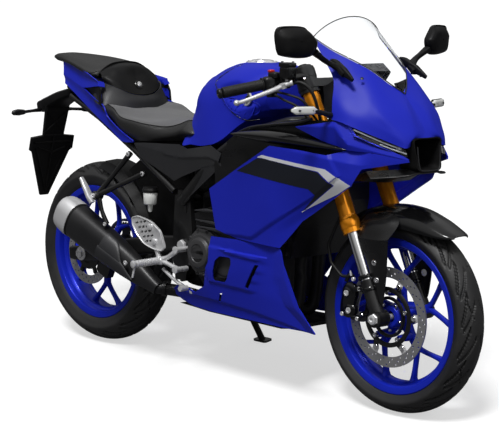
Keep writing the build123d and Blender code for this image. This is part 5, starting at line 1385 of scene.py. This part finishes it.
def build_mirrors():
    """The mirrors: one outline shrunk towards its middle layer by layer, turned back towards its outer
    end and folded along a ridge on its back, on a bent stem and foot."""
    ring = smooth(MIRROR, 5, True)

    def layers(rows):
        grid = shrunk(ring, rows, 0, ring.mean(0))
        ridge = grid[..., 2] - 1124 + 0.14 * (grid[..., 1] - 230)
        grid[..., 0] -= 0.24 * (grid[..., 1] - 300) + (grid[..., 0] > 540) * 0.5 * np.clip(ridge, 0, 40)
        return grid

    shell = layers([(524.5, 0.05), (524.5, 0.91), (520.5, 0.93), (520, 0.965), (522, 0.995), (527, 1), (536, 0.985),
                    (545, 0.94), (551, 0.84), (555, 0.68), (557, 0.5), (558, 0.3), (558, 0.04)])
    stem = limb([(582, 154, 1000), (560, 160, 1017), (545, 190, 1034), (543, 216, 1048), (545, 248, 1066)],
                [(16, 10), (14, 9), (10, 7), (9, 7), (14, 9)], 6, oval(20, 3.5))
    foot = limb([(520, 150, 1036), (540, 152, 1029), (580, 157, 1008), (618, 161, 986)],
                [(5, 8), (9, 13), (9, 13), (4, 6)], 6, oval(20, 3))
    piece("mirror_shells", both(patch(shell, loop_v=True, flip=True), stem, foot), "matt black plastic",
          replaces="mirrors", sharp=38)
    glass = layers([(523.6, 0.905), (523, 0.86), (522.4, 0.45), (522.2, 0.02)])
    piece("mirror_glass", both(patch(glass, loop_v=True)), "chromed steel", sharp=60)


def build_signals():
    """The turn signals: soft squares that swell and close along a short straight line in front and a
    curved one behind, on round stems."""
    front = straight([(568, 252, 899), (563, 264, 899.5), (547, 320, 900), (543, 333, 900)], 6)
    size = straight([(3, 3), (9, 11.5), (9, 11.5), (3, 3)], 6)
    pod = sweep(front, oval(24, 4), size)
    piece("front_signal_pods", both(pod), "milky plastic", replaces="front_turn_signals", sharp=60)
    stem = pipe([(572, 200, 884), (568, 232, 892), (564, 262, 898)], [9, 7, 7.5], 5, 16)
    rim = sweep(front + (-2.5, 0, 0), oval(24, 4), size * (0.8, 1.12))
    marks = [screw((560, 272, 900), (1, -0.3, 0), 3.2, 11), screw((552, 316, 900), (1, -0.3, 0), 2.6, 11)]
    piece("front_signal_stems", both(stem, rim, *marks), "satin black plastic", sharp=50)
    tail = limb([(-1005, 126, 786), (-1003, 136, 786), (-999, 160, 786), (-997, 182, 785), (-997, 190, 784)],
                [(5, 5), (9, 9), (11.5, 11.5), (9, 9), (3, 3)], 4, oval(20, 2.6))
    arm = pipe([(-1016, 50, 790), (-1010, 92, 788), (-1004, 132, 786)], [8, 5.5, 6], 4, 14)
    piece("rear_signal_pods", both(tail, arm), "satin black plastic", replaces="rear_turn_signals", sharp=50)


def build_cockpit():
    """The meter: a soft-edged case and its face, both tilted up to the rider."""
    tilted = ((0.8, 0, -0.6), ACROSS, (0.6, 0, 0.8))
    piece("meter_case", [block((520, 0, 985), (36, 148, 76), 6, tilted)], "satin black plastic", sharp=45)
    piece("meter_face", [block((505, 0, 996), (5, 126, 54), 8, tilted)], "gloss black", sharp=45)


# ---- Engine, exhaust, swingarm and foot controls ----

MUFFLER_START = np.array([-330.0, -148, 292])
MUFFLER_RUN = np.array([-370.0, -36, 178])
MUFFLER_WAY = MUFFLER_RUN / np.linalg.norm(MUFFLER_RUN)


def muffler_skin(rows, section, sub=5):
    """A skin about the muffler's axis, smooth through rows of (distance along, half width, half height)."""
    table = smooth(rows, sub)
    return sweep(MUFFLER_START + MUFFLER_WAY * table[:, :1], section, table[:, 1:])


def build_exhaust():
    """The exhaust: round pipes through a few points, a muffler whose oval section grows along its
    axis, its rolled end cap, and two shields, each an arc of that section carried along it."""
    section = oval(40, 2.5)
    header = pipe([(306, -40, 560), (306, -38, 400), (290, -42, 262), (180, -52, 240), (-60, -78, 240),
                   (-190, -86, 246), (-262, -140, 256)], 20, 8, 20)
    second = pipe([(306, 40, 560), (306, 38, 400), (288, 34, 262), (240, 0, 246), (150, -44, 240)], 20, 8, 20)
    bends = [pipe([(286, y, 604), (300, y, 586), (306, y, 556)], 20, 6, 20) for y in (-40, 40)]
    body = muffler_skin([(-90, 21, 22), (-50, 24, 28), (10, 30, 41), (80, 36, 50), (160, 43, 57), (250, 47, 60),
                         (340, 49.5, 62)], section)
    clamp = turned([(-6, 21), (-6, 25), (6, 25), (6, 21)], (-238, -124, 254), (-0.8, -0.58, 0.1), 28, True)
    piece("exhaust_shell", [header, second, *bends, body, clamp], "heatproof black", replaces="exhaust",
          sharp=50)
    cap = muffler_skin([(346, 49, 61.5), (347, 51.5, 64), (350, 52, 64.5), (385, 50.5, 63), (406, 47.5, 59),
                        (414, 43, 54), (416, 38, 49), (413, 34, 44), (404, 30, 40), (400, 4, 6)], section, 4)
    piece("muffler_end_cap", [cap], "end cap alloy", replaces="muffler_cap", sharp=35)
    outlet = turned([(396, 20), (409, 20), (409, 17), (380, 16), (380, 0.1)], MUFFLER_START, MUFFLER_WAY, 32)
    seam = muffler_skin([(338, 50, 62.6), (340, 50.8, 63.4), (345, 50.8, 63.4), (347, 50, 62.6)], section, 2)
    piece("muffler_trim", [outlet, seam], "matt black plastic")
    side = np.cross(UP, MUFFLER_WAY)
    side /= np.linalg.norm(side)
    top = np.cross(MUFFLER_WAY, side)
    shields = []
    for low, high, first, last, lift in ((-0.15, 1.15, 66, 172, 7.5), (-0.55, 0.16, 4, 176, 9.5)):
        way = np.linspace(first, last, 30)[:, None]
        turn = np.linspace(0, 1, 16)[None]
        taper = eased(way, first - 30, first + 70)
        angle = low + (high - low) * turn * taper + 0 * way
        wide = np.interp(way, [0, 160, 250], [29, 43, 47]) + lift - 3 * np.abs(2 * turn - 1) ** 6
        tall = np.interp(way, [0, 160, 250], [40, 57, 60]) + lift - 3 * np.abs(2 * turn - 1) ** 6
        grid = (MUFFLER_START + MUFFLER_WAY * way[..., None] + side * (wide * np.cos(angle))[..., None]
                + top * (tall * np.sin(angle))[..., None])
        shields.append(patch(grid))
    piece("muffler_shield", shields, "graphite plastic", replaces="heat_shield", wall=3)
    piece("shield_bolt", [screw((-352, -197, 332), (0, -1, 0), 8, 5)], "satin alloy")


def build_engine():
    """The engine: a filled guard outline, soft-edged blocks, turned round covers ringed with screws,
    and nine thin cooling fins."""
    guard = [(-366, 424), (-424, 530), (-462, 580), (-500, 622), (-420, 676), (-380, 706), (-230, 690), (-176, 600),
             (-180, 440), (-280, 410)]
    fill = np.array([[(x, y, z) for x, z in guard] for y in (-66, -62, 62, 66)], float)
    fill[[0, 3]] = fill[[0, 3]] * 0.97 + fill[[0, 3]].mean(1, keepdims=True) * 0.03
    dark = [patch(fill, loop_v=True, flip=True, caps=True),
            block((-45, 0, 668), (250, 170, 190), 5), block((-10, 0, 545), (230, 190, 110), 4),
            block((-105, 0, 328), (210, 190, 124), 4), block((10, 0, 300), (250, 200, 60), 4)]
    piece("engine_boxes", dark, "matt black plastic", sharp=50)
    cover = [(0, 80), (166, 78), (172, 74), (176, 62), (186, 58), (187, 50), (190, 48), (197, 44), (199, 38),
             (199, 30), (197, 28), (197, 0.1)]
    small = [(100, 58), (160, 56), (168, 50), (171, 40), (171, 0.1)]
    parts = both(turned(cover, (0, 0, 408), ACROSS, 64), turned(small, (92, 0, 396), ACROSS, 48))
    parts += both(*[screw((72 * math.cos(turn), 171, 408 + 72 * math.sin(turn)), ACROSS, 6, 5, 16)
                    for turn in np.radians(range(40, 321, 35))])
    parts += [block((168, 0, 620 + 12.5 * k), (208, 238, 4), 5, None, 4, 28) for k in range(9)]
    piece("engine_covers", parts, "grey casting", sharp=35)


def build_swingarm():
    """The swingarm: a soft square carried along each beam's line, a cross brace, and turned nuts."""
    line = [(-128, 105, 412), (-200, 105, 408), (-300, 105, 392), (-440, 105, 366), (-600, 105, 330),
            (-700, 105, 314), (-758, 105, 308)]
    size = [(12, 21), (12.5, 25), (12.5, 30), (12, 30), (11.5, 28), (12, 27), (12, 22)]
    arm = limb(line, size, 6, oval(28, 4.5))
    brace = block((-254, 0, 398), (86, 184, 52), 4)
    piece("swingarm_beams", both(arm) + [brace], "black metal", replaces="swingarm", sharp=45)
    axle_end = (-690, 117, 314)
    nut = [turned([(0, 22), (3, 22), (4, 20), (4, 17), (6, 16.5), (14, 16), (15, 14), (15, 8), (12, 7), (12, 0.1)],
                  axle_end, ACROSS, 6),
           turned([(0, 24), (4, 24), (5, 22), (5, 0.1)], axle_end, ACROSS, 36),
           turned([(0, 19), (8, 19), (10, 16), (10, 9), (7, 8), (7, 0.1)], (-135, 139, 412), ACROSS, 6)]
    piece("rear_axle_nuts", both(*nut), "satin alloy", sharp=35)


HEEL = [(-328, 488), (-296, 497), (-228, 485), (-182, 459), (-158, 408), (-176, 392), (-217, 394),
        (-263, 406), (-302, 434), (-324, 465)]
CORNER_CUT = 0.14


def build_heel_guards():
    """The heel guards: an outline with its corners cut, shrunk towards its middle layer by layer for
    a raised rim, with three rows of leaning slots cut through."""
    corners = np.array(HEEL, float)
    ring = np.stack([(1 - CORNER_CUT) * corners + CORNER_CUT * np.roll(corners, step, 0) for step in (1, -1)], 1)
    ring = ring.reshape(-1, 2)
    rows = [(187, 0.02), (187, 0.93), (189, 1), (193, 1), (196, 0.99), (197, 0.965), (194.5, 0.935),
            (193.5, 0.91), (193.5, 0.02)]
    grid = shrunk(ring, rows, 1, ring.mean(0))
    slots = []
    for row in range(3):
        for k in range(5):
            x, z = -309 + 12.5 * k + 19 * row, 472 - 14 * k + 4 * row
            slots.append([(x, z), (x + 14, z + 7), (x + 16.5, z + 0.5), (x + 2.5, z - 6.5)])
    piece("heel_guards", both(patch(grid, loop_v=True, flip=True)), "satin alloy", replaces="heel_plates",
          cut=prisms(slots, 180, 204))


def build_footrests():
    """The pegs, a ribbed profile turned about each one's line, and their brackets of round arms."""
    arms = [pipe([(-196, 182, 362), (-160, 180, 374), (-112, 178, 404)], [11, 7, 9], 5, 14),
            pipe([(-196, 182, 362), (-156, 180, 352), (-110, 178, 340)], [11, 7, 9], 5, 14),
            pipe([(-196, 182, 362), (-206, 184, 384), (-214, 188, 402)], [10, 8, 7], 4, 14),
            *[turned([(140, 9), (188, 9), (189, 12), (193, 12), (194, 8), (194, 0.1)], (-112, 0, z), ACROSS, 24)
              for z in (404, 340)],
            *[turned([(192, 11), (198, 10.5), (200, 7), (200, 0.1)], (x, 0, z), ACROSS, 24)
              for x, z in ((-234, 466), (-212, 420))]]
    piece("peg_brackets", both(*arms), "satin alloy", sharp=45)
    ribs = [(4 + 8 * k + step, radius) for k in range(10)
            for step, radius in ((0, 12), (4.4, 12), (5, 10.2), (7.4, 10.2))]
    peg = turned([(-12, 12), (0, 12)] + ribs + [(90, 12.5), (96, 12.5), (98, 10), (98, 0.1)],
                 (-192, 196, 360), (-13, 96, -5), 24)
    feeler = pipe([(-205, 282, 348), (-206, 284, 334), (-209, 287, 312)], 3.6, 4, 12)
    hinge = block((-192, 186, 358), (30, 22, 24), 3)
    flat = limb([(-520, 206, 516), (-532, 208, 536), (-548, 210, 562), (-572, 212, 596)],
                [(9, 9), (8, 13), (8, 12), (6, 8)], 6, oval(20, 3), ACROSS)
    piece("footrests", both(peg, feeler, hinge, flat), "satin alloy", replaces="foot_pegs", sharp=45)


def build_pillion_stays():
    """The stays of the pillion pegs, round pipes through three points each, with a muffler hanger."""
    stays = [pipe([(-318, 146, 630), (-420, 166, 584), (-508, 184, 544)], [10, 8, 10], 6, 14),
             pipe([(-402, 138, 690), (-456, 160, 620), (-512, 184, 548)], [10, 8, 10], 6, 14),
             turned([(172, 15), (200, 15), (203, 12), (203, 0.1)], (-516, 0, 540), ACROSS, 28)]
    hanger = pipe([(-512, -184, 536), (-498, -182, 490), (-478, -176, 446)], [9, 7, 9], 5, 14)
    piece("pillion_stays", both(*stays) + [hanger], "black metal", replaces="pillion_brackets", sharp=45)
    bolts = both(*[screw(place, ACROSS, 8, 5)
                   for place in ((-323, 152, 628), (-405, 146, 686), (-516, 203, 540))])
    bolts.append(screw((-478, -184, 446), (0, -1, 0), 7, 5))
    piece("stay_bolts", bolts, "satin alloy")


def build_fluid_cup():
    """The rear fluid cup and its lid, two profiles turned about one upright axis."""
    place = (-290, -146, 530)
    cup = turned([(-24, 6), (-14, 8), (-2, 9), (0, 19), (4, 22), (40, 23.5), (42, 22), (42, 0.1)], place, UP, 36)
    lid = turned([(40, 24), (42, 26), (50, 26), (52, 24.5), (56, 24.5), (58, 22), (58, 0.1)], place, UP, 36)
    piece("rear_fluid_cup", [cup], "milky plastic", replaces="rear_reservoir", sharp=45)
    piece("rear_fluid_lid", [lid], "satin black plastic", sharp=45)


def build_plate_holder():
    """The rear plate holder: an outline shrunk layer by layer for a soft edge, waisted, with wings and
    a pointed foot, ribs across its back, and an arm and a tray carried forward under the tail."""
    base, up, out = np.array([-990.0, 0, 800]), np.array([0.24, 0, 0.97]), np.array([0.97, 0, -0.24])
    outline = np.array([(0, 12), (52, 10), (45, -104), (96, -110), (96, -158), (83, -166), (18, -334),
                        (0, -334)], float)
    ring = np.concatenate([outline, outline[::-1] * (-1, 1)])
    rows = [(0, 0.02), (0, 0.97), (2, 1), (10, 1), (13, 0.97), (10, 0.9), (9, 0.02)]
    grid = shrunk(ring, rows, 0, (0, -120))
    parts = [patch(base + grid[..., 1:2] * ACROSS + grid[..., 2:] * up + out * grid[..., :1], loop_v=True)]
    lines = [((-40, -20), (40, -90)), ((40, -20), (-40, -90)), ((-80, -130), (80, -130)), ((-70, -150), (0, -320)),
             ((70, -150), (0, -320)), ((0, -100), (0, -310)), ((-46, -104), (46, -104)), ((0, -170), (-60, -150)),
             ((0, -170), (60, -150))]
    for start, end in lines:
        parts.append(pipe([base + (0, y, 0) + v * up + out * 9 for y, v in (start, end)], 4, 1, 8))
    head = limb([(-1040, 0, 800), (-1000, 0, 812), (-930, 0, 842), (-850, 0, 866)],
                [(48, 22), (54, 24), (48, 20), (44, 16)], 5, oval(24, 4))
    under = limb([(-866, 0, 886), (-740, 0, 858), (-600, 0, 820), (-440, 0, 758)],
                 [(46, 14), (80, 14), (112, 10), (124, 8)], 5, oval(24, 5))
    piece("plate_holder_body", parts + [head, under], "matt black plastic", replaces="plate_holder", sharp=35)


# ---- Stage ----

CAMERA_PLACE = (4044.52, -3831.75, 1268.93)  # beside the upright bike, in millimetres
CAMERA_TURN, CAMERA_DROP, CAMERA_ROLL = 0.80861, 0.13795, 0.01703  # in radians
CAMERA_SENSOR = 36  # wide, in millimetres
CAMERA_REACH = 200  # in metres, like the floor's
FLOOR_REACH = 60
FLOOR_SEEN, FLOOR_UNSEEN = (0.9, 0.9, 0.9, 1), (0.12, 0.12, 0.125, 1)
FLOOR_DIFFUSE, FLOOR_GLOW = 0.45, 1.25
LAMP_TARGET = (0, 0, 0.4)


def camera_matrix():
    """The camera looks at the bike along a turn and a drop, then rolls; it leans with the bike."""
    c, s = math.cos(CAMERA_TURN), math.sin(CAMERA_TURN)
    back = Vector((s * math.cos(CAMERA_DROP), -c * math.cos(CAMERA_DROP), math.sin(CAMERA_DROP)))
    right = Vector(UP).cross(back).normalized()
    up = back.cross(right)
    cr, sr = math.cos(CAMERA_ROLL), math.sin(CAMERA_ROLL)
    right, up = cr * right + sr * up, cr * up - sr * right
    axes = Matrix((right, up, back)).transposed().to_4x4()
    return PARK @ Matrix.Translation(Vector(CAMERA_PLACE) * MM) @ axes


def seen_rays(tree, path):
    """1 for rays from the camera, also through glass, and 0 for all others."""
    return maths(tree, "ADD", path.outputs["Is Camera Ray"], path.outputs["Is Transmission Ray"], True)


def floor_material():
    """A pale floor: the camera sees white with soft shadows, while the bike gets little light back from it."""
    material = bpy.data.materials.new("floor white")
    material.use_nodes = True
    tree = material.node_tree
    tree.nodes.clear()
    out = tree.nodes.new("ShaderNodeOutputMaterial")
    diffuse = tree.nodes.new("ShaderNodeBsdfDiffuse")
    glow = tree.nodes.new("ShaderNodeEmission")
    glow.inputs["Strength"].default_value = FLOOR_GLOW
    seen = seen_rays(tree, tree.nodes.new("ShaderNodeLightPath"))
    link(tree, mix_colour(tree, seen, FLOOR_UNSEEN, FLOOR_SEEN), diffuse.inputs["Color"])
    mix = tree.nodes.new("ShaderNodeMixShader")
    link(tree, maths(tree, "MULTIPLY", seen, FLOOR_DIFFUSE), mix.inputs[0])
    link(tree, diffuse.outputs[0], mix.inputs[1])
    link(tree, glow.outputs[0], mix.inputs[2])
    link(tree, mix.outputs[0], out.inputs["Surface"])
    return material


def sun(name, place, energy, degrees):
    """A sun that shines from place onto the bike; its disc is some degrees wide."""
    data = bpy.data.lights.new(name, "SUN")
    data.energy = energy
    data.angle = math.radians(degrees)
    obj = linked(name, data)
    obj.location = place
    obj.rotation_euler = (Vector(LAMP_TARGET) - Vector(place)).to_track_quat("-Z", "Y").to_euler()


def build_camera(lens):
    """The camera, with the given focal length in millimetres."""
    data = bpy.data.cameras.new("camera")
    data.sensor_fit = "HORIZONTAL"
    data.sensor_width = CAMERA_SENSOR
    data.lens = lens
    data.clip_end = CAMERA_REACH
    camera = linked("camera", data)
    camera.matrix_world = camera_matrix()
    bpy.context.scene.camera = camera


def build_floor():
    """One large square on the ground."""
    mesh = bpy.data.meshes.new("floor")
    corners = [(x * FLOOR_REACH, y * FLOOR_REACH, 0) for x, y in ((-1, -1), (1, -1), (1, 1), (-1, 1))]
    mesh.from_pydata(corners, [], [(0, 1, 2, 3)])
    floor = linked("floor", mesh)
    floor.data.materials.append(floor_material())


def build_world(settings):
    """White to the camera and an even light for the bike; reflections see it darker near the ground
    and brighter overhead, rising straight with the height of the ray."""
    world = bpy.data.worlds.new("studio")
    bpy.context.scene.world = world
    world.use_nodes = True
    tree = world.node_tree
    background = tree.nodes["Background"]
    path = tree.nodes.new("ShaderNodeLightPath")
    seen = seen_rays(tree, path)
    split = tree.nodes.new("ShaderNodeSeparateXYZ")
    link(tree, tree.nodes.new("ShaderNodeTexCoord").outputs["Generated"], split.inputs[0])
    height = maths(tree, "MULTIPLY", maths(tree, "SUBTRACT", split.outputs["Z"], 0.2, True), 2.6, True)
    mirror = maths(tree, "ADD", maths(tree, "MULTIPLY", height, settings.reflection), settings.shade)
    strength = maths(tree, "ADD", maths(tree, "MULTIPLY", seen, 1 - settings.ambient), settings.ambient)
    glossy = maths(tree, "SUBTRACT", mirror, settings.ambient)
    strength = maths(tree, "ADD", strength, maths(tree, "MULTIPLY", path.outputs["Is Glossy Ray"], glossy))
    link(tree, strength, background.inputs["Strength"])
    background.inputs["Color"].default_value = (1, 1, 1, 1)


def build_stage(settings):
    """The camera, the floor, the world and two suns."""
    bpy.context.scene.view_settings.view_transform = "Standard"
    build_camera(settings.lens)
    build_floor()
    build_world(settings)
    sun("key sun", (1.4, -2.3, 6.5), settings.key, 16)
    sun("fill sun", (5, -0.6, 3), settings.fill, 40)


# ---- Settings and operators ----

class BikeStage(bpy.types.PropertyGroup):
    lens: bpy.props.FloatProperty(name="Lens", description="Focal length of the camera", default=125.77,
                                  subtype="DISTANCE_CAMERA")
    ambient: bpy.props.FloatProperty(name="Ambient", description="Strength of the even light", default=0.3,
                                     min=0, max=2)
    reflection: bpy.props.FloatProperty(name="Reflection", description="Brightness overhead, seen in reflections",
                                        default=0.5, min=0, max=2)
    shade: bpy.props.FloatProperty(name="Shade", description="Brightness near the ground, seen in reflections",
                                   default=0.06, min=0, max=2)
    key: bpy.props.FloatProperty(name="Key", description="Strength of the main sun", default=2.6, min=0, max=10)
    fill: bpy.props.FloatProperty(name="Fill", description="Strength of the front sun", default=0.35, min=0, max=10)


def build_all(*builders):
    """Call each builder in turn; an error in one stops its operator."""
    for build in builders:
        build()
    return {"FINISHED"}


class BIKE_OT_stage(bpy.types.Operator):
    """Set the floor, the lamps and the camera"""
    bl_idname = "bike.stage"
    bl_label = "Stage"

    def execute(self, context):
        build_stage(context.scene.bike_stage)
        return {"FINISHED"}


class BIKE_OT_finishes(bpy.types.Operator):
    """Give every carried-over node of the frame its finish"""
    bl_idname = "bike.finishes"
    bl_label = "Frame finishes"

    def execute(self, context):
        for name, nodes in NODE_FINISHES.items():
            for node in nodes.split():
                materials = frame["nodes"][node].data.materials
                materials.clear()
                materials.append(finish(name))
        return {"FINISHED"}


class BIKE_OT_side_fairing(bpy.types.Operator):
    """Build the side cowls, their stripes, the belly cowl and the inner panels"""
    bl_idname = "bike.side_fairing"
    bl_label = "Side fairing"

    def execute(self, context):
        return build_all(build_side_cowls, build_belly, build_inner_panels)


class BIKE_OT_nose(bpy.types.Operator):
    """Build the nose cowl, screen, lamps and air duct"""
    bl_idname = "bike.nose"
    bl_label = "Nose"

    def execute(self, context):
        return build_all(build_nose, build_lamps, build_intake)


class BIKE_OT_tank(bpy.types.Operator):
    """Build the tank shell, its seams and its cap"""
    bl_idname = "bike.tank"
    bl_label = "Fuel tank"

    def execute(self, context):
        return build_all(build_tank, build_fuel_cap)


class BIKE_OT_seats(bpy.types.Operator):
    """Build both seats, the trim round them, the tail panels and the side covers"""
    bl_idname = "bike.seats"
    bl_label = "Seats and tail"

    def execute(self, context):
        return build_all(build_rider_seat, build_pillion_seat, build_seat_trim, build_tail, build_side_covers)


class BIKE_OT_wheels(bpy.types.Operator):
    """Build both cast wheels with grooved tyres, the disc carrier and its buttons"""
    bl_idname = "bike.wheels"
    bl_label = "Wheels"

    def execute(self, context):
        return build_all(build_front_wheel, build_rear_wheel, build_brakes)


class BIKE_OT_front_end(bpy.types.Operator):
    """Build the front fender, fork guards, fork collars and caliper"""
    bl_idname = "bike.front_end"
    bl_label = "Front end"

    def execute(self, context):
        return build_all(build_fender, build_fork, build_caliper)


class BIKE_OT_controls(bpy.types.Operator):
    """Build the grips, levers, switch pods, hoses, mirrors, signals and cockpit"""
    bl_idname = "bike.controls"
    bl_label = "Controls"

    def execute(self, context):
        return build_all(build_grips, build_levers, build_controls, build_mirrors, build_signals, build_cockpit)


class BIKE_OT_running_gear(bpy.types.Operator):
    """Build the exhaust, engine covers, swingarm, footrests, fluid cup and plate holder"""
    bl_idname = "bike.running_gear"
    bl_label = "Running gear"

    def execute(self, context):
        return build_all(build_exhaust, build_engine, build_swingarm, build_heel_guards, build_footrests,
                         build_pillion_stays, build_fluid_cup, build_plate_holder)


class BIKE_PT_panel(bpy.types.Panel):
    bl_label = "Sport bike"
    bl_idname = "BIKE_PT_panel"
    bl_space_type = "VIEW_3D"
    bl_region_type = "UI"
    bl_category = "Sport bike"

    def draw(self, context):
        settings = context.scene.bike_stage
        for label in ("lens", "ambient", "reflection", "shade", "key", "fill"):
            self.layout.prop(settings, label)
        for operator in OPERATORS:
            self.layout.operator(operator.bl_idname)


OPERATORS = (BIKE_OT_finishes, BIKE_OT_side_fairing, BIKE_OT_nose, BIKE_OT_tank, BIKE_OT_seats, BIKE_OT_wheels,
             BIKE_OT_front_end, BIKE_OT_controls, BIKE_OT_running_gear, BIKE_OT_stage)
CLASSES = (BikeStage, *OPERATORS, BIKE_PT_panel)


def register():
    for cls in CLASSES:
        bpy.utils.register_class(cls)
    bpy.types.Scene.bike_stage = bpy.props.PointerProperty(type=BikeStage)


def unregister():
    del bpy.types.Scene.bike_stage
    for cls in reversed(CLASSES):
        bpy.utils.unregister_class(cls)


def main():
    register()
    for operator in OPERATORS:
        group, name = operator.bl_idname.split(".")
        getattr(getattr(bpy.ops, group), name)()
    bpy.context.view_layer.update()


if __name__ == "__main__":
    main()
